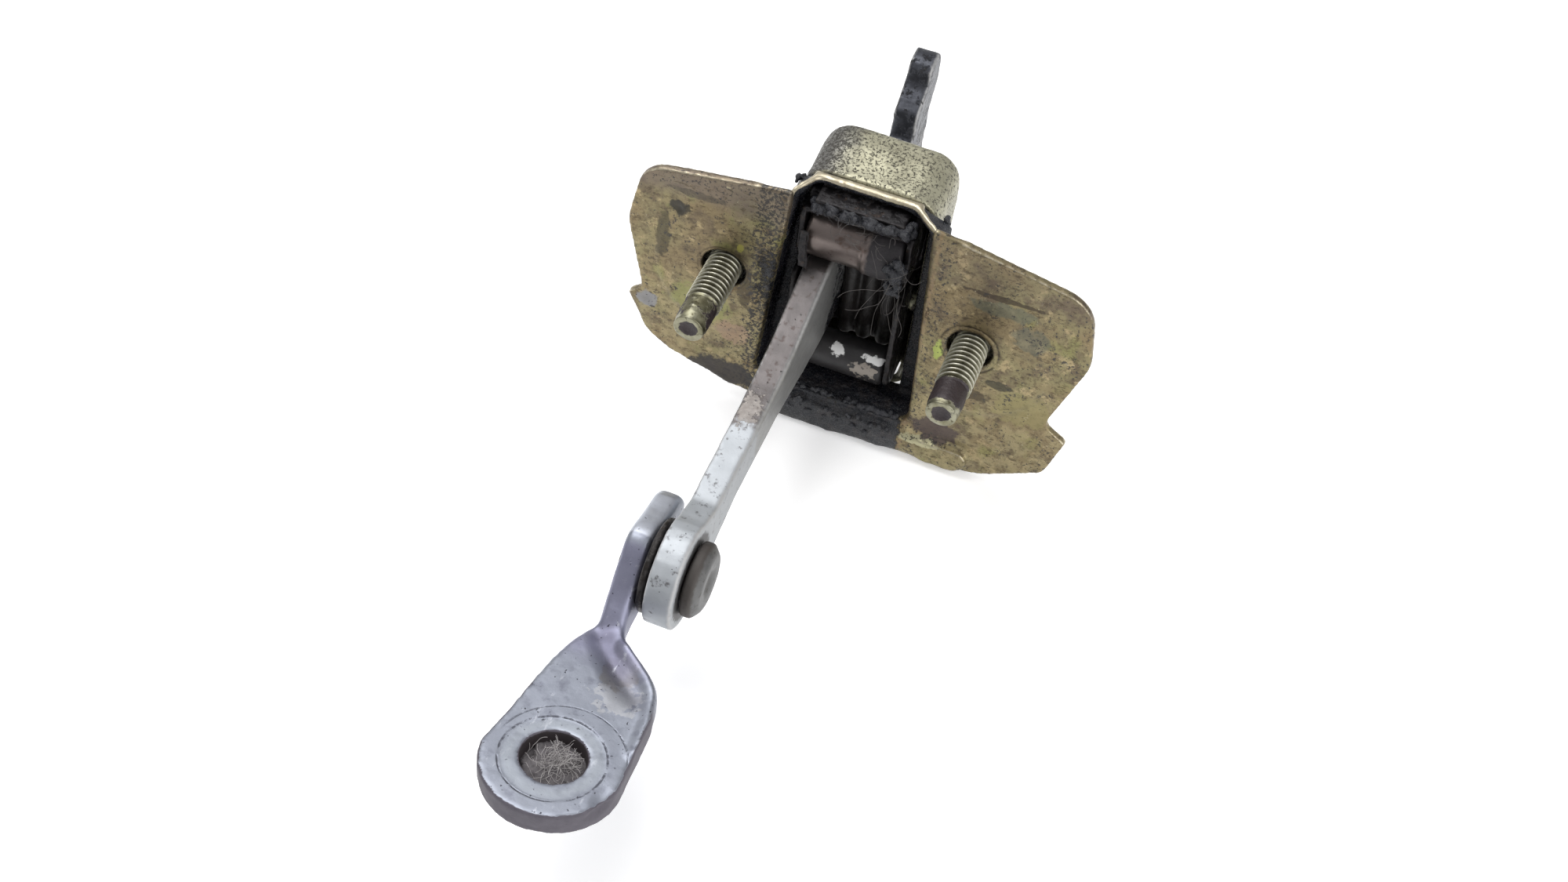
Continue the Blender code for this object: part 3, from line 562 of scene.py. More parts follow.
def bright_zinc():
    """Studs and pins: silvery olive plate, a painted highlight on edges and thread crests, darker in the
    thread roots, and grease near the tips.
    """
    g = Graph("bright_zinc_plate")
    g.colour = g.blend(g.cloud(0.35, 0.65, 2.4, 1, 4), (146, 144, 124), (118, 115, 92))
    g.lay(g.cloud(0.55, 0.7, 0.8, 2, 5), (82, 78, 60))
    # Painted highlight: near-white on the edges and thread crests.
    g.lay(g.step(g.painted("edge"), 0.2, 0.8), (218, 216, 204), 0.9)
    g.lay(g.painted("root"), (40, 36, 28), 0.9)
    rough = g.mix(g.noise(1.3, 3), 0.26, 0.44)
    height = grain_height(g, 0.01, 0.015)
    mask = g.greasy(0.42, 0.56, 1.0, 1.1, 4, 5, 0.65)
    g.lay(mask, g.blend(g.noise(0.8, 5), (34, 28, 32), (60, 50, 50)))
    rough = g.mix(mask, rough, 0.5)
    metal = g.mix(mask, 0.88, 0.25)
    height = g.math("ADD", height, g.both(mask, g.noise(0.5, 6, 4), 0.12))
    return g.finish(rough, metal, height)


def arm_steel():
    """The arm: brown where it runs between the rollers, white-grey zinc towards the eye."""
    g = Graph("arm_steel_worn")
    along = g.ragged(g.y, 7.0, 2.4, 1, 6, 0.65)
    worn = g.step(along, -28.6, -26.4)
    zinc = g.blend(g.noise(3, 2, 4), (156, 160, 164), (182, 186, 190))
    zinc = g.blend(g.cloud(0.56, 0.68, 1.4, 3, 6, 0.65), zinc, (108, 108, 110))
    brown = g.blend(g.noise(2.2, 4, 5, 0.6, (1, 0.4, 1)), (80, 77, 77), (110, 105, 104))
    brown = g.blend(g.both(g.cloud(0.55, 0.7, 1.2, 5, 5), 0.8), brown, (72, 63, 60))
    side = g.step(g.x, -5.2, -4.35)
    grey = g.blend(g.noise(1.2, 6, 6, 0.7, (1, 0.5, 1)), (108, 108, 108), (158, 158, 156))
    brown = g.blend(side, brown, grey)
    # Painted shade: the zinc on the right side face is painted darker.
    zinc = g.blend(g.both(side, 0.5), zinc, (140, 141, 142))
    g.colour = g.blend(worn, zinc, brown)
    tip = g.step(g.uneven(g.y, 3.0, 2.0, 15, 4), 20.0, 27.0)
    dark_blue = g.blend(g.noise(1.1, 16, 6, 0.7), (34, 36, 42), (84, 87, 94))
    g.lay(tip, dark_blue, 0.9)
    rear_chip = g.spot((-8.4, -2.0, -1.6), (1.0, 1.9, 2), 0.6, 7, 0.8)
    front_chip = g.spot((-7.2, -24.4, -3.2), (2.0, 3.2, 3), 0.9, 8, 0.8)
    chips = g.either(rear_chip, g.both(front_chip, 0.8))
    g.lay(chips, g.blend(g.noise(0.9, 13, 4), (88, 82, 78), (156, 151, 146)))
    pits = g.cloud(0.72, 0.76, 0.7, 9, 2)
    g.lay(pits, (44, 40, 40), 0.9)
    around = g.uneven(g.reach(PIVOT, 0), 1.6, 0.8, 14, 5)
    around = g.both(g.step(around, 8.3, 7.4), g.step(g.x, -5.2, -4.6))
    g.lay(around, (48, 44, 42), 0.85)
    edge = g.step(g.uneven(g.painted("edge"), 0.35, 0.9, 10, 4), 0.45, 0.8)
    g.lay(edge, (176, 175, 174), 0.65)
    rough = g.mix(worn, 0.5, g.mix(g.noise(1.6, 11), 0.32, 0.5))
    metal = g.mix(worn, 0.62, 0.85)
    metal = g.mix(side, metal, 0.45)
    height = g.math("ADD", grain_height(g, 0.012, 0.03), g.both(chips, 0.03))
    height = g.math("SUBTRACT", height, g.both(pits, 0.08))
    mask = g.greasy(0.42, 0.58, 1.0, 1.4, 12, 6, 0.7)
    return g.finish(*greased(g, rough, metal, height, mask))


def bracket_zinc():
    """The pillar bracket: satin blue-grey zinc, pitted, with a bolt's ring print on the pad."""
    g = Graph("bracket_zinc_satin")
    g.colour = g.blend(g.noise(5, 1, 4), (122, 126, 136), (148, 152, 162))
    g.lay(g.cloud(0.5, 0.72, 2.2, 2, 5), (100, 102, 114), 0.6)
    # A painted highlight: a pale patch on the pad beside the crease.
    g.lay(g.spot((-6.0, -78.0, -11.0), (3.0, 3.2, 3.5), 0.7, 3, 1.2), (178, 178, 180), 0.5)
    g.lay(g.spot((-7.5, -73.0, -11.0), (2.6, 3.2, 3), 0.5, 4, 2.0), (118, 110, 98), 0.45)
    neck = g.both(g.step(g.uneven(g.y, 3.0, 3, 5), -74.0, -68.0), g.step(g.y, -55.5, -57.0))
    g.lay(neck, (134, 134, 154), 0.8)
    ear = g.step(g.uneven(g.y, 0.8, 1.2, 12, 3), -54.6, -54.0)
    light_grey = g.blend(g.noise(2.0, 13, 5), (170, 174, 184), (200, 204, 212))
    g.lay(ear, light_grey, 0.9)
    # Painted shade in the hollow along the crease.
    g.lay(g.painted("crease"), (78, 76, 92), 0.65)
    # end marks the pad's edge faces, which are painted dark as a painted shade.
    end = g.step(g.painted("flank"), 0.3, 0.7)
    pits = g.cloud(0.69, 0.75, 0.62, 6, 2)
    g.lay(pits, (46, 44, 52), 0.9)
    g.lay(g.cloud(0.6, 0.72, 1.5, 7, 6, 0.7, (1, 0.25, 1)), (190, 192, 200), 0.5)
    g.lay(g.ring(HOLE, 2, 6.2, 1.6), (158, 164, 168), 0.35)
    head_print = g.both(g.ring(HOLE, 2, 7.6, 0.22), g.cloud(0.38, 0.5, 3, 8))
    washer_print = g.ring(HOLE + np.array((0.8, 0.5, 0)), 2, 9.4, 0.2)
    print_ring = g.either(head_print, g.both(washer_print, g.step(g.y, -91.0, -87.5), 0.6))
    print_ring = g.both(print_ring, g.step(g.painted("flank"), 0.3, 0.1))
    print_ring = g.both(print_ring, g.cloud(0.3, 0.6, 0.8, 15, 5))
    g.lay(print_ring, (72, 72, 82), 0.7)
    edge = g.step(g.uneven(g.painted("edge"), 0.35, 0.9, 9, 4), 0.5, 0.85)
    g.lay(edge, (176, 178, 186), 0.4)
    # Painted shade on the pad's edge faces and their rounded edges.
    end_shade = g.blend(g.noise(1.4, 14, 6, 0.65), (56, 51, 59), (92, 87, 96))
    g.lay(end, end_shade, 0.95)
    rough = g.mix(g.noise(2.0, 10, 4), 0.36, 0.52)
    height = grain_height(g, 0.016, 0.03, 0.45)
    height = g.math("SUBTRACT", height, g.math("ADD", g.both(pits, 0.1), g.both(print_ring, 0.1)))
    mask = g.greasy(0.42, 0.58, 1.0, 1.4, 11, 6, 0.7)
    g.lay(mask, (52, 46, 48))
    rough = g.mix(g.either(mask, end), rough, 0.65)
    metal = g.mix(g.either(mask, end), 0.82, 0.15)
    return g.finish(rough, metal, height)


def dark_metal(name, dark, light, rust, shine=0.36):
    """Steel under old grease, for the washer, cage, carrier and plates at the back."""
    g = Graph(name)
    g.colour = g.blend(g.noise(2.0, 1, 5), dark, light)
    g.lay(g.cloud(0.56, 0.7, 1.1, 2, 5), rust, 0.7)
    edge = g.step(g.uneven(g.painted("edge"), 0.4, 0.8, 3, 4), 0.5, 0.9)
    g.lay(edge, (84, 78, 72), 0.2)
    wet = g.cloud(0.45, 0.6, 1.5, 4, 5)
    rough = g.mix(wet, shine, 0.62)
    metal = g.mix(wet, 0.75, 0.25)
    height = g.math("ADD", grain_height(g, 0.02, 0.05), g.both(wet, g.noise(0.5, 5, 5, 0.7), 0.12))
    return g.finish(rough, metal, height)


def roller_steel():
    """The rollers: polished brown where the arm runs, matt black beside it."""
    g = Graph("roller_steel_polished")
    g.colour = g.blend(g.noise(1.6, 1, 5, 0.6, (0.25, 1, 1)), (80, 71, 68), (130, 120, 115))
    g.lay(g.cloud(0.55, 0.7, 2.4, 2, 5), (78, 62, 54), 0.7)
    run = g.step(g.uneven(g.x, 0.8, 0.9, 3, 4), 1.6, 2.2)
    g.lay(run, g.blend(g.noise(1.5, 4, 4), (26, 25, 28), (52, 48, 50)))
    rough = g.mix(run, g.mix(g.noise(1.1, 5), 0.22, 0.4), 0.55)
    metal = g.mix(run, 0.85, 0.3)
    height = g.math("ADD", grain_height(g, 0.01, 0.02), g.both(run, g.noise(0.7, 6, 4), 0.08))
    return g.finish(rough, metal, height)


def roller_greasy():
    """The lower roller: smooth black grease, scraped to a beige streak in one place."""
    g = Graph("roller_steel_greasy")
    g.colour = g.blend(g.noise(2.5, 1, 5), (24, 24, 26), (52, 50, 50))
    streak = g.spot((3.6, 4.4, -17.0), (1.9, 3.0, 1.4), 1.0, 3, 0.9)
    g.lay(streak, (150, 142, 132), 0.8)
    # Painted light: near-white patches standing in for the bright backdrop seen through the gaps beside the
    # roller.
    for centre, radii in (((-1.3, 4.7, -14.9), (1.1, 1.4, 0.9)), ((5.3, 4.8, -14.9), (2.0, 1.4, 0.5))):
        g.lay(g.spot(centre, radii, 0.5, 5, 0.8), (226, 226, 224))
    rough = g.mix(g.noise(1.4, 2), 0.35, 0.6)
    return g.finish(rough, 0.2, grain_height(g, 0.02, 0.06))


def rivet_zinc():
    """The rivet: satin grey on its face and brown-black dirt round its flank."""
    g = Graph("rivet_zinc_satin")
    g.colour = g.blend(g.noise(1.6, 1, 5), (84, 84, 84), (114, 114, 113))
    g.lay(g.cloud(0.56, 0.68, 0.9, 2, 5), (78, 76, 74), 0.7)
    behind = g.step(g.uneven(g.x, 0.7, 1.0, 3, 4), -1.5, -2.0)
    g.lay(behind, (62, 56, 52), 0.85)
    dimple = g.step(g.reach(PIVOT, 0), 2.1, 1.6)
    g.lay(dimple, (84, 82, 80), 0.5)
    rough = g.mix(behind, g.mix(g.noise(1.2, 4), 0.4, 0.55), 0.6)
    return g.finish(rough, g.mix(behind, 0.85, 0.4), grain_height(g, 0.012, 0.02))


def matt(name, dark, light, rough_low, rough_high, bump):
    """Rubber and nylon under a film of dirt."""
    g = Graph(name)
    g.colour = g.blend(g.noise(2.5, 1, 5), dark, light)
    rough = g.mix(g.noise(1.2, 2, 4), rough_low, rough_high)
    height = g.math("ADD", g.both(g.noise(0.4, 3, 5, 0.7), bump), g.both(g.noise(1.8, 4), bump * 2))
    return g.finish(rough, 0.0, height)


def clotted_grease():
    g = Graph("grease_clotted")
    grain = g.noise(0.45, 1, 6, 0.75)
    g.colour = g.blend(g.noise(1.5, 2, 4), (17, 18, 22), (42, 43, 49))
    g.lay(g.step(grain, 0.58, 0.7), (84, 84, 88), 0.4)
    rough = g.mix(g.cloud(0.4, 0.62, 0.8, 3, 4), 0.12, 0.48)
    return g.finish(rough, 0.0, g.both(grain, 0.2))


FINISH = {
    "yellow_zinc": yellow_zinc(),
    "pale_zinc": pale_zinc(),
    "bright_zinc": bright_zinc(),
    "arm_steel": arm_steel(),
    "bracket_zinc": bracket_zinc(),
    "dark_steel": dark_metal("dark_steel_greasy", (20, 20, 22), (42, 39, 40), (58, 46, 38)),
    "roller_steel": roller_steel(),
    "roller_greasy": roller_greasy(),
    "rivet_zinc": rivet_zinc(),
    "spring_steel": dark_metal(
        "spring_steel_blued", (52, 54, 62), (96, 98, 106), (60, 50, 44), 0.28
    ),
    "buffer_rubber": matt("rubber_dusty", (24, 23, 23), (48, 45, 42), 0.65, 0.9, 0.03),
    "nylon": matt("nylon_oily", (13, 13, 15), (38, 33, 30), 0.35, 0.6, 0.05),
    "grease": clotted_grease(),
    "fibre": matt("fibre_dark", (44, 42, 42), (90, 86, 82), 0.5, 0.7, 0.01),
    "felt": matt("lint_matted", (58, 54, 56), (128, 124, 126), 0.8, 0.95, 0.15),
    "lint": matt("lint_pale", (140, 136, 136), (196, 192, 190), 0.7, 0.9, 0.01),
}


# ---- sculpting


def pocket_wall(points):
    """1 on the pocket's walls, seen from inside it, and 0 on the wings."""
    return ease(points[:, 1], 0.6, 2.2) * within(points[:, 0], -15.6, 14.8, 0.6)


def sculpt_plate(shape):
    co, x, y, z = shape.co, shape.x, shape.y, shape.z
    folds = np.maximum(within(x, -16.5, -9.5, 1.0), within(x, 10.0, 16.0, 1.0))
    folds = folds * ease(y, 5.0, 2.0)
    shape.relax(26, 0.5 * folds)
    drawn_in = ease(z, 15.7, 18.2) * ease(y, 2.0, 8.0)
    x -= 4.8 * drawn_in * ease(x, 3.0, 10.0)
    x += 2.2 * drawn_in * ease(x, -4.0, -9.0)
    for stud, half in ((LEFT_STUD, 11.0), (RIGHT_STUD, 12.5)):
        reach = np.hypot((x - stud + np.sign(stud) * -1.0) / half, (z + 1.0) / 13.5)
        raised = ease(reach, 1.04, 0.92)
        flat = ease(np.abs(x), 14.6, 16.0) * ease(y, 2.4, 1.8)
        y -= 0.34 * raised * flat
    ring = np.abs(np.hypot(x - RIGHT_STUD, z) - 4.9)
    y += 0.1 * ease(ring, 0.5, 0.0) * ease(y, 1.2, 0.2)
    dents = ((-29.6, 9.6, 1.0, 0.25), (-34.5, -13.5, 1.6, -0.4), (22.0, -24.5, 4.0, 0.3))
    for across, up, radius, depth in dents:
        y += depth * blob(co, (across, 0, up), (radius, 2.0, radius))
    shape.push(0.07 * lumps(co, 7.0, 2, 1) + 0.03 * lumps(co, 1.3, 2, 2))
    lower = ease(z, -20.0, -27.0)
    shape.push(0.35 * lower * lumps(co, 3.2, 3, 3))
    wall = pocket_wall(co)
    grit = np.maximum(lumps(co, 1.1, 3, 4), 0)
    left = ease(x, -8.0, -10.0)
    top = ease(z, 6.0, 14.0)
    floor = ease(z, -18.0, -21.0)
    front = ease(y, 8.0, 7.2)
    room = ease(y, 3.0, 1.8)
    shape.push(wall * front * grit * (0.25 + room * (0.45 * left + 0.35 * top)))
    lip = ease(y, 2.6, -0.4) * within(z, -25.0, -21.4, 0.6)
    lip = lip * within(x, -13.0, 13.5, 1.0)
    shape.push(0.5 * lip * np.maximum(lumps(co, 1.2, 3, 5), 0))
    beside = blob(co, (-13.5, 0, 1.0), (5.0, 4.0, 17.0)) * ease(y, 3.0, 1.0)
    right_side = blob(co, (13.2, 0, 6.0), (3.2, 3.0, 14.0)) * ease(y, 3.0, 1.0)
    inner = wall * (0.55 + 0.5 * left + 0.45 * ease(y, 3.0, 7.0) + 0.3 * floor)
    low_lip = within(z, -29.5, -21.5, 0.8) * within(x, -13.0, 13.0, 1.5) * 0.75
    grease = np.clip(np.maximum.reduce([0.6 * beside, 0.4 * right_side, inner, low_lip]), 0, 1.2)
    outside = ease(y, 8.2, 8.6)
    behind = ease(y, 1.2, 1.5) * (1 - wall)
    rim = ease(z, 18.1, 18.7) * within(x, -14.0, 13.0, 1.2) * ease(y, 0.3, 2.0)
    shape.paint("worn", np.clip(rim * (0.75 + 0.25 * ease(x, -6.0, -11.0)), 0, 1))
    shape.paint("grease", np.clip(grease * (1 - 0.5 * outside) + 0.25 * behind, 0, 1.2) * (1 - rim))


def sculpt_cup(shape):
    co, x, y, z = shape.co, shape.x, shape.y, shape.z
    back = ease(y, CUP_HIGH[1] - 4.5, CUP_HIGH[1] - 1.0)
    shape.relax(24, 0.5 * back)
    shape.relax(6)
    z += 0.55 * ease(y, 10.0, 18.0) * ease(z, 8.0, 17.0)
    shape.push(0.12 * lumps(co, 6.0, 2, 6) + 0.05 * lumps(co, 1.0, 3, 7))
    left = ease(x, CUP_LOW[0] + 2.5, CUP_LOW[0]) * ease(y, 16.0, 9.0)
    shape.push(0.35 * left * np.maximum(lumps(co, 1.4, 3, 8), 0))
    inner = ease(y, 10.0, 9.0)
    shape.paint("grease", np.clip(0.55 * left + 0.35 * inner, 0, 1))


def sculpt_arm(shape):
    co, y, z = shape.co, shape.y, shape.z
    shape.push(0.05 * lumps(co, 5.0, 2, 9) + 0.02 * lumps(co, 1.0, 2, 10))
    hook = ease(y, 24.0, 34.0)
    behind = within(y, 0.0, 40.0, 4.0) * ease(y, 3.0, 9.0)
    triangle = blob(co, (-8.2, -46.0, -9.0), (2.0, 4.5, 6.0))
    lower = ease(z, -7.0, -13.0) * ease(y, -50.0, -40.0)
    shape.push(0.12 * hook * lumps(co, 1.8, 3, 11))
    shape.paint("grease", np.clip(0.5 * behind + 0.4 * hook + 0.7 * triangle + 0.3 * lower, 0, 1))


def pad_height(points):
    """How far a point lies above the middle plane of the tilted pad."""
    return points[:, 2] - (HOLE[2] - (points[:, 1] - HOLE[1]) * PAD_SLOPE)


def sculpt_bracket(shape):
    co, x, y, z = shape.co, shape.x, shape.y, shape.z
    fold = within(y, -80.0, -60.0, 3.0) * ease(x, -19.5, -16.0)
    eye = ease(np.hypot(y - PIVOT[1], z - PIVOT[2]), 5.0, 6.5)
    shape.relax(16, 0.5 * fold * eye)
    around = ease(np.hypot(x - HOLE[0], y - HOLE[1]), 5.2, 6.4)
    pad_only = ease(y, -64.0, -72.0)
    shape.relax(4, 0.5 * around * eye * pad_only)
    reach = np.hypot(x - HOLE[0], y - HOLE[1])
    above = ease(pad_height(co), 1.2, 1.9)
    z -= 0.08 * above * ease(reach, 7.7, 7.3)
    upper = ease(pad_height(co), -0.5, 1.2)
    crease = off_path(co, CREASE)
    z -= 0.8 * upper * ease(crease, 3.6, 0.0) * ease(y, -81.0, -73.0)
    z += 0.7 * upper * ease(off_path(co, RIM), 2.4, 0.0)
    chip = blob(co, (-0.6, -96.5, -8.2), (2.2, 3.6, 1.6))
    end = ease(y, -96.0, -100.0) * ease(pad_height(co), 1.5, -1.0)
    shape.push(-0.55 * chip + 0.06 * lumps(co, 6.0, 2, 12) + 0.02 * lumps(co, 1.2, 2, 13))
    shape.push(0.15 * end * lumps(co, 2.0, 3, 14))
    facing = shape.normals()
    flat = np.abs(facing[:, 2])
    leaning = np.abs(facing @ np.array((0, PAD_SLOPE, 1.0)) / math.hypot(1, PAD_SLOPE))
    leaning = leaning + 0.05 * lumps(co, 0.9, 3, 59)
    # flank marks faces turned away from the pad's plane; the finish paints them dark as shade.
    flank = ease(leaning, 0.94, 0.84) * ease(y, -72.0, -84.0)
    bore = ease(reach, 5.4, 4.9) * ease(flat, 0.8, 0.4)
    shape.paint("flank", flank)
    crease = crease + 0.8 * lumps(co, 2.5, 3, 58)
    fading = ease(y, -79.0, -72.0)
    # The crease paint darkens the hollow beside the rim: a painted shade.
    shape.paint("crease", ease(crease, 2.8, 0.2) * upper * (0.35 + 0.65 * fading))
    under = ease(pad_height(co), -1.0, -2.0) * ease(y, -60.0, -70.0)
    shape.paint("grease", np.clip(0.75 * bore + 0.3 * under, 0, 1))


def greased_by(amount):
    def sculpt(shape):
        shape.paint("grease", np.full(len(shape.co), amount))
    return sculpt


def rough_up(height, size, seed, amount=0.0):
    def sculpt(shape):
        shape.push(height * lumps(shape.co, size, 3, seed))
        greased_by(amount)(shape)
    return sculpt


# ---- pieces


def make_stud(name, node, side):
    """An M6 stud: head, helical thread, and a plain point with a cupped end."""
    low, high = corners(node)
    centre = (low[0] + high[0]) / 2
    head_back = high[1]
    tip = low[1]
    crest = 3.0
    depth = 0.58
    pitch = 1.0
    thread_start = 1.2
    thread_end = -9.8
    around = 72
    step = 0.1
    stations = list(np.arange(0, head_back - tip, step)) + [head_back - tip]
    angles = np.linspace(0, 2 * np.pi, around, endpoint=False)
    rings = []
    roots = []
    bm = bmesh.new()

    def ring_of(y, radii):
        return [bm.verts.new((centre + r * math.cos(t), y, r * math.sin(t))) for r, t in zip(radii, angles)]

    for s in stations:
        y = head_back - s
        plain = crest - 0.27 - 0.2 * ease(np.array(y), tip + 1.8, tip + 0.3)
        if y > 3.8:
            radius = np.full(around, 4.9 if y < head_back - 0.4 else 4.5)
            root = np.zeros(around)
        else:
            phase = (y / pitch + angles / (2 * np.pi)) % 1.0
            wave = np.clip(np.abs(phase - 0.5) * 2.6 - 0.15, 0, 1)
            wave = wave * wave * (3 - 2 * wave)
            in_thread = float(ease(np.array(y), thread_end - 0.5, thread_end + 0.5))
            in_thread *= float(ease(np.array(y), thread_start + 1.4, thread_start))
            cut = crest - depth * wave
            radius = plain * (1 - in_thread) + cut * in_thread
            root = wave * in_thread
        rings.append(ring_of(y, radius))
        roots.append(root)
    for before, after in zip(rings, rings[1:]):
        bridge(bm, before, after)
    inner = rings[-1]
    for inward, r in ((0, 1.7), (0.1, 1.35), (0.35, 0.95), (0.45, 0.35)):
        ring = ring_of(tip + inward, [r] * around)
        bridge(bm, inner, ring)
        inner = ring
    bridge(bm, inner, [bm.verts.new((centre, tip + 0.46, 0))])
    bridge(bm, rings[0], [bm.verts.new((centre, head_back, 0))])
    bmesh.ops.recalc_face_normals(bm, faces=bm.faces)
    mesh = mesh_of(bm, name)
    shape = Shape(mesh)
    shape.relax(1)
    shape.push(0.03 * lumps(shape.co, 0.9, 3, 20 + side))
    co, x, y, z = shape.co, shape.x, shape.y, shape.z
    dog = ease(y, thread_end + 1.2, thread_end - 0.6)
    upper = ease(z, -1.0, 1.5) if side > 0 else ease(z, 2.6, 0.0)
    end = ease(y, tip + 1.6, tip + 0.6)
    bore = ease(np.hypot(x - centre, z), 1.9, 1.0) * end
    head = ease(y, 3.6, 3.9)
    shape.push(0.12 * dog * (1 - end) * np.maximum(lumps(co, 0.9, 3, 23), 0))
    grease = dog * (1 - end) * (0.36 + 0.4 * upper) + 0.6 * bore + 0.3 * end + 0.55 * head
    paint_root = np.zeros(len(co))
    flat_roots = np.concatenate(roots)
    paint_root[: len(flat_roots)] = flat_roots
    shape.store()
    shape.paint("grease", np.clip(grease, 0, 1))
    shape.paint("root", paint_root)
    # This edge paint becomes a painted highlight on the thread crests, kept off the end and the head.
    shape.paint("edge", shape.edge_wear(3, 0.07) * (1 - 0.85 * end) * (1 - 0.7 * head))
    finished(name, mesh, "housing", "bright_zinc", nodes=[node])


def make_pin(name, node, body):
    low, high = corners(node)
    radius = (high[2] - low[2]) / 2
    a, b = low[0], high[0]
    profile = [(a, 0), (a, radius - 0.2), (a + 0.2, radius), (b - 0.2, radius), (b, radius - 0.2), (b, 0)]
    revolved(name, node, body, "bright_zinc", profile, 0.01, 48, 0.9)


def make_trunnion(name, node, outward):
    """A headed pin: the head is outside the cup, and its face is domed."""
    low, high = corners(node)
    outer, inner = (low[0], high[0]) if outward < 0 else (high[0], low[0])
    head = (high[2] - low[2]) / 2
    under = outer - outward * 1.2
    profile = [
        (outer, 0), (outer, head * 0.45), (outer - outward * 0.25, head * 0.85),
        (outer - outward * 0.55, head), (under, head), (under, 2.0), (inner, 2.0), (inner, 0),
    ]
    revolved(name, node, "housing", "bright_zinc", profile, 0.03, 64, 0.45)


def make_roller(name, node, body, shoulder, finish):
    low, high = corners(node)
    full = (high[2] - low[2]) / 2
    run = full - (0.4 if shoulder else 0.0)
    bore = 1.6
    profile = [(low[0], bore), (low[0], run - 0.5), (low[0] + 0.5, run)]
    if shoulder:
        profile += [(0.4, run), (0.8, full)]
    profile += [(high[0] - 0.5, full), (high[0], full - 0.5), (high[0], bore)]
    revolved(name, node, body, "roller_steel", profile, 0.02, finish=finish)


def make_rivet():
    low, high = corners("pivot_rivet")
    face = high[0]
    head = (high[2] - low[2]) / 2
    profile = [
        (low[0], 0), (low[0], 4.8), (low[0] + 0.8, 3.95), (face - 2.7, 3.95), (face - 2.7, head - 0.15),
        (face - 2.45, head), (face - 1.2, head), (face - 0.3, head - 1.0), (face, head - 1.5),
        (face, 2.6), (face - 0.25, 2.0), (face - 0.6, 1.4), (face - 0.65, 0),
    ]
    revolved("rivet", "pivot_rivet", "arm", "bracket_zinc", profile, 0.035, finish="rivet_zinc")


def make_washer():
    low, high = corners("spacer_washer")
    outer = (high[2] - low[2]) / 2
    profile = [
        (low[0], 4.1), (low[0], outer - 0.25), (low[0] + 0.25, outer), (high[0] - 0.25, outer),
        (high[0], outer - 0.25), (high[0], 4.1),
    ]
    revolved("washer", "spacer_washer", "arm", "dark_steel", profile, 0.06)


def make_spring():
    """The leaf spring: a finer copy of its CAD node that rides on the cage."""
    piece = refined("leaf", "leaf_spring", "cage", "spring_steel", 0.16, 3, greased_by(0))
    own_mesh(piece)


def clump(name, body, seeds, voxel, sharp, seed, finish="grease"):
    """Grease as many small balls melted together and roughened. seeds are (centre, radius)."""
    bm = bmesh.new()
    for centre, radius in seeds:
        bmesh.ops.create_icosphere(bm, subdivisions=2, radius=radius, matrix=Matrix.Translation(centre))
    mesh = remeshed(mesh_of(bm, name), voxel * (1))
    shape = Shape(mesh)
    shape.relax(2)
    shape.push(sharp * lumps(shape.co, 0.9, 3, seed))
    shape.push(0.5 * sharp * lumps(shape.co, 0.35, 2, seed + 1))
    shape.store()
    return finished(name, mesh, body, "dark_steel", finish)


def scatter(low, high, count, small, large, seed):
    """Balls spread through a box, as (centre, radius)."""
    random = np.random.default_rng(seed)
    places = random.uniform(low, high, (count, 3))
    sizes = random.uniform(small, large, count)
    return [(Vector(place), float(size)) for place, size in zip(places, sizes)]


def strands(name, body, finish, lines, thick):
    """Thin fibres along smooth lines of points, as one curve with round section."""
    curve = bpy.data.curves.new(name, "CURVE")
    curve.dimensions = "3D"
    curve.bevel_depth = thick * MM
    curve.bevel_resolution = 1
    curve.resolution_u = 6
    for line in lines:
        spline = curve.splines.new("NURBS")
        spline.points.add(len(line) - 1)
        for point, place in zip(spline.points, line):
            point.co = (*(Vector(place) * MM), 1)
        spline.use_endpoint_u = True
        spline.order_u = 4
    curve.materials.append(FINISH[finish])
    piece = placed(name, curve)
    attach(piece, body)
    return piece


def wander(start, drift, count, length, spread, seed):
    """Random smooth lines from near a start, as lists of points."""
    random = np.random.default_rng(seed)
    lines = []
    for _ in range(count):
        here = np.array(start) + random.normal(0, 1, 3) * np.array(spread)
        heading = np.array(drift) + random.normal(0, 0.5, 3)
        line = [tuple(here)]
        steps = 6
        for _ in range(steps):
            heading = heading + random.normal(0, 0.55, 3)
            heading = heading / np.linalg.norm(heading)
            here = here + heading * length / steps
            line.append(tuple(here))
        lines.append(line)
    return lines


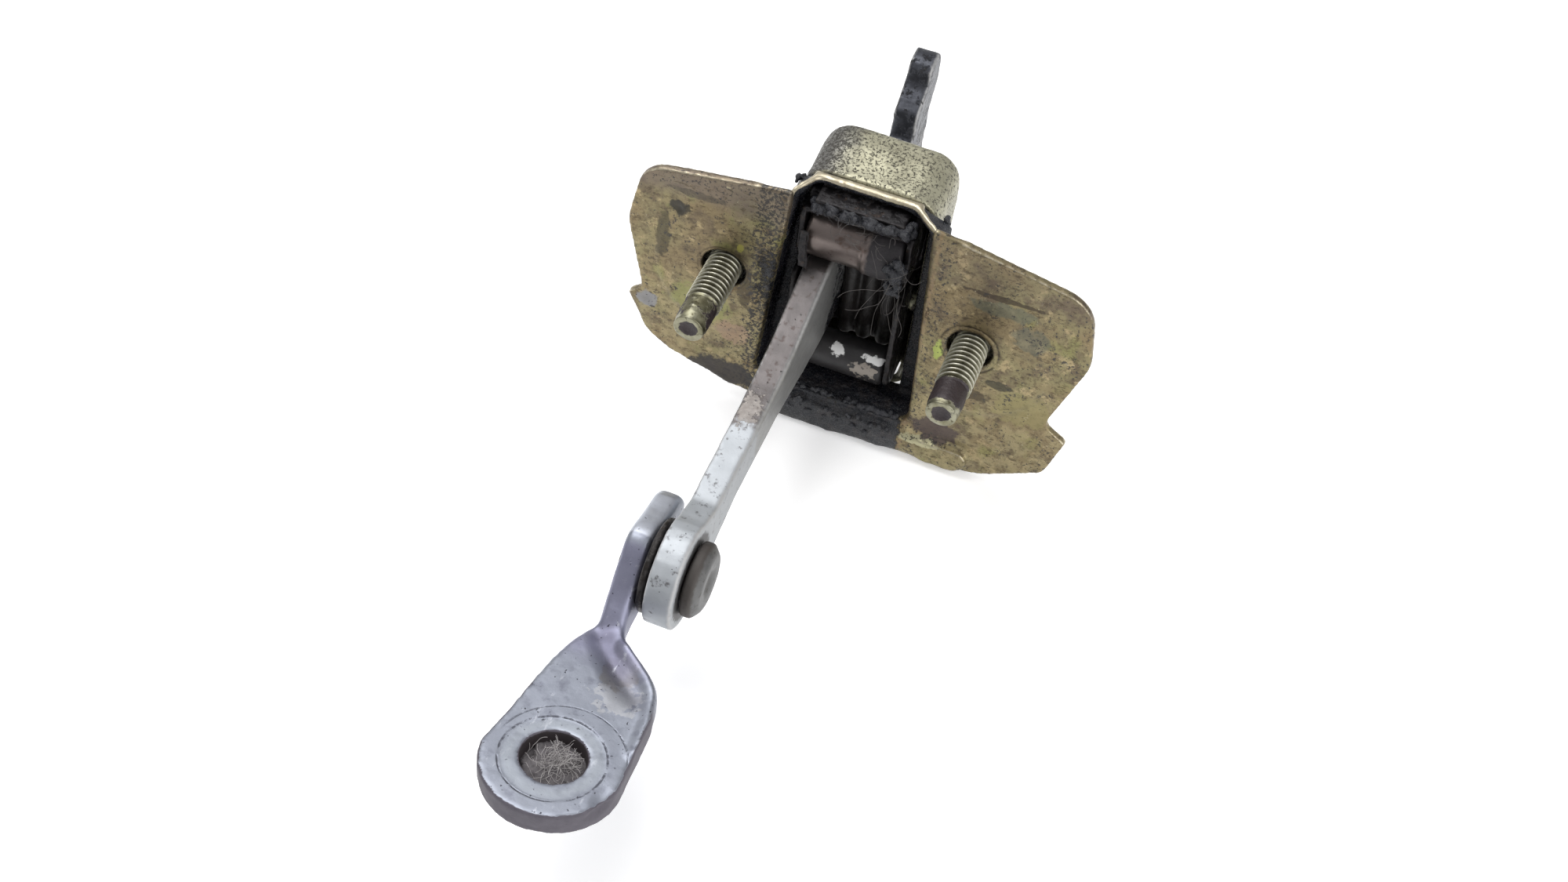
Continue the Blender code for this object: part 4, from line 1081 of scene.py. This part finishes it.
def make_pieces():
    # The plate's last number keeps its pale edge paint to the up-facing edges, a painted highlight.
    refined("plate", "mounting_plate", "housing", "yellow_zinc", 0.34, 5, sculpt_plate, 0.7)
    refined("cup", "housing_cup", "housing", "pale_zinc", 0.36, 4, sculpt_cup)
    refined("stud_sheet", "stud_carrier", "housing", "pale_zinc", 0.45, 4, rough_up(0.05, 2.5, 31, 0.5))
    refined("buffer", "rear_buffer", "housing", "buffer_rubber", 0.3, 6, rough_up(0.06, 2.0, 32))
    refined("buffer_facing", "buffer_plate", "housing", "dark_steel", 0.25, 3, rough_up(0.03, 2.0, 33))
    make_stud("stud_left", "left_stud", -1)
    make_stud("stud_right", "right_stud", 1)
    make_trunnion("trunnion_left", "left_trunnion", -1)
    make_trunnion("trunnion_right", "right_trunnion", 1)
    refined("cage", "roller_cage", "cage", "dark_steel", 0.25, 3, rough_up(0.04, 2.0, 34))
    refined("guide", "arm_guide", "cage", "nylon", 0.25, 14, rough_up(0.22, 2.6, 35))
    make_pin("pin_lower", "lower_pin", "cage")
    make_roller("roller_lower", "lower_roller", "lower_roller_body", False, "roller_greasy")
    refined("carrier", "upper_carrier", "carrier", "dark_steel", 0.2, 3, rough_up(0.03, 1.5, 36))
    make_pin("pin_upper", "upper_pin", "carrier")
    make_roller("roller_upper", "upper_roller", "upper_roller_body", True, "roller_steel")
    make_spring()
    refined("arm", "check_arm", "arm", "arm_steel", 0.3, 5, sculpt_arm)
    make_rivet()
    make_washer()
    refined("bracket", "pillar_bracket", "bracket", "bracket_zinc", 0.3, 4, sculpt_bracket)


def make_tab():
    """The carrier's left cheek is bent round in front of the roller's end."""
    bm = bmesh.new()
    bmesh.ops.create_cube(bm, size=1.0)
    bmesh.ops.scale(bm, vec=(1.7, 0.7, 7.6), verts=bm.verts)
    bmesh.ops.translate(bm, vec=(-8.9, 1.75, 8.0), verts=bm.verts)
    mesh = remeshed(mesh_of(bm, "carrier_tab"), 0.16)
    shape = Shape(mesh)
    shape.relax(4)
    shape.y -= 0.35 * ease(shape.x, -8.6, -8.1)
    shape.x += 0.35 * ease(shape.z, 9.0, 4.5)
    shape.push(0.12 * lumps(shape.co, 1.2, 3, 57))
    greased_by(0.0)(shape)
    shape.paint("edge", shape.edge_wear(6, 0.2))
    shape.store()
    finished("carrier_tab", mesh, "carrier", "dark_steel")


def make_grease():
    """Grease on the carrier's front, on the pocket's shelf and in its corners."""
    under_web = scatter((-9.3, 1.6, 13.4), (7.6, 6.4, 16.9), 620, 0.45, 0.95, 41)
    shown_from = 11.9
    clear_of_roller = 5.3
    under_roof = 16.9
    under_web = [
        (c, r) for c, r in under_web
        if 0.66 * c[2] + 0.73 * c[1] - r > shown_from
        and math.hypot(c[1] - ROLLER[1], c[2] - ROLLER[2]) - r > clear_of_roller
        and c[2] + r < under_roof
    ]
    piece = clump("grease_top", "cage", under_web, 0.17, 0.28, 43)
    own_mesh(piece)
    right = scatter((5.2, 1.0, 4.5), (8.2, 2.2, 12.0), 46, 0.3, 0.75, 42)
    clump("grease_right", "carrier", right, 0.15, 0.24, 50)
    left_lump = scatter((-12.8, 5.4, 17.2), (-10.6, 7.4, 18.2), 14, 0.3, 0.6, 51)
    right_lump = scatter((11.6, 8.8, 13.0), (12.3, 9.4, 16.8), 16, 0.3, 0.6, 52)
    clump("grease_lumps", "housing", left_lump + right_lump, 0.17, 0.25, 53)
    shelf = scatter((-11.8, 0.4, -22.0), (11.8, 1.3, -21.6), 70, 0.3, 0.75, 44)
    shelf += scatter((-12.0, -1.3, -25.8), (11.0, -0.9, -22.6), 60, 0.25, 0.5, 54)
    clump("grease_shelf", "housing", shelf, 0.17, 0.15, 45)
    hanging = wander((7.6, 1.2, 10.0), (0.1, -0.2, -1.0), 16, 12.0, (0.9, 0.4, 1.8), 46)
    hanging += wander((0.0, 2.2, 13.8), (0.2, -0.5, 0.2), 20, 4.5, (4.0, 0.4, 1.0), 47)
    strands("grease_fibres", "carrier", "fibre", hanging, 0.035)
    wide = 4.8
    low = (HOLE[0] - wide, HOLE[1] - wide, -12.4)
    high = (HOLE[0] + wide, HOLE[1] + wide, -11.4)
    felt = scatter(low, high, 560, 0.5, 0.9, 55)
    felt = [(c, r) for c, r in felt if math.hypot(c[0] - HOLE[0], c[1] - HOLE[1]) + r < wide + 0.6]
    rim = wide - 0.3
    felt += [
        (Vector((HOLE[0] + rim * math.cos(turn), HOLE[1] + rim * math.sin(turn), -11.9)), 0.65)
        for turn in np.linspace(0, 2 * math.pi, 36)
    ]
    clump("hole_dirt", "bracket", felt, 0.2, 0.3, 56, "felt")
    lint = wander((HOLE[0], HOLE[1] + 1.0, -10.6), (0.5, 0.2, 0.0), 170, 4.0, (1.8, 1.2, 0.5), 48)
    inside = [
        [p for p in line if math.hypot(p[0] - HOLE[0], p[1] - HOLE[1]) < 4.4] for line in lint
    ]
    inside = [line for line in inside if len(line) >= 4]
    strands("hole_lint", "bracket", "lint", inside, 0.03)


# ---- stage


def make_floor():
    mesh = bpy.data.meshes.new("floor")
    half = 1.5
    drop = (PLATE_LOW[2] - FLOOR_DROP) * MM
    square = [(-half, -half, drop), (half, -half, drop), (half, half, drop), (-half, half, drop)]
    mesh.from_pydata(square, [], [(0, 1, 2, 3)])
    floor = placed("floor", mesh)
    g = Graph("floor_white")
    g.colour = tone(246, 246, 246)
    mesh.materials.append(g.finish(0.9, 0.0))
    g.shader.inputs["Emission Color"].default_value = (1, 1, 1, 1)
    g.shader.inputs["Emission Strength"].default_value = 0.3


def make_light(name, place, target, size, power, colour=(1, 1, 1)):
    lamp = bpy.data.lights.new(name, "AREA")
    lamp.shape = "RECTANGLE"
    lamp.size, lamp.size_y = size
    lamp.energy = power
    lamp.color = colour
    obj = placed(name, lamp)
    obj.location = place
    obj.rotation_euler = (Vector(target) - Vector(place)).to_track_quat("-Z", "Y").to_euler()


def make_world():
    world = bpy.data.worlds.new("studio")
    bpy.context.scene.world = world
    world.use_nodes = True
    tree = world.node_tree
    back = tree.nodes["Background"]
    place = tree.nodes.new("ShaderNodeTexCoord")
    split = tree.nodes.new("ShaderNodeSeparateXYZ")
    ramp = tree.nodes.new("ShaderNodeValToRGB")
    tree.links.new(place.outputs["Generated"], split.inputs[0])
    tree.links.new(split.outputs["Z"], ramp.inputs[0])
    low, high = ramp.color_ramp.elements
    low.position, low.color = 0.0, (0.62, 0.62, 0.63, 1)
    high.position, high.color = 0.75, (1.0, 1.0, 1.02, 1)
    tree.links.new(ramp.outputs[0], back.inputs["Color"])
    back.inputs["Strength"].default_value = 0.62


def make_camera():
    camera = bpy.data.cameras.new("photo_view")
    camera.lens = 49.652
    camera.sensor_width = 36.0
    camera.clip_start = 0.01
    obj = placed("photo_view", camera)
    right = Vector((0.933, 0.348, 0.094))
    ahead = Vector((-0.164, 0.641, -0.749)).normalized()
    right = (right - ahead * right.dot(ahead)).normalized()
    up = right.cross(ahead)
    turn = Matrix((right, up, -ahead)).transposed()
    obj.matrix_world = Matrix.Translation((0.054851, -0.241811, 0.246304)) @ turn.to_4x4()
    bpy.context.scene.camera = obj


make_camera()
make_pieces()
make_tab()
make_grease()
make_floor()
make_world()
make_light("key", (-0.35, 0.25, 0.75), (0, -0.02, 0), (0.7, 0.7), 5.2)
make_light("sparkle", (-0.25, -0.1, 0.7), (0, -0.02, 0), (0.25, 0.25), 1.1)
make_light("fill", (0.65, -0.3, 0.4), (0, -0.02, 0), (0.7, 0.7), 3.4)
bpy.context.scene.view_settings.view_transform = "Standard"
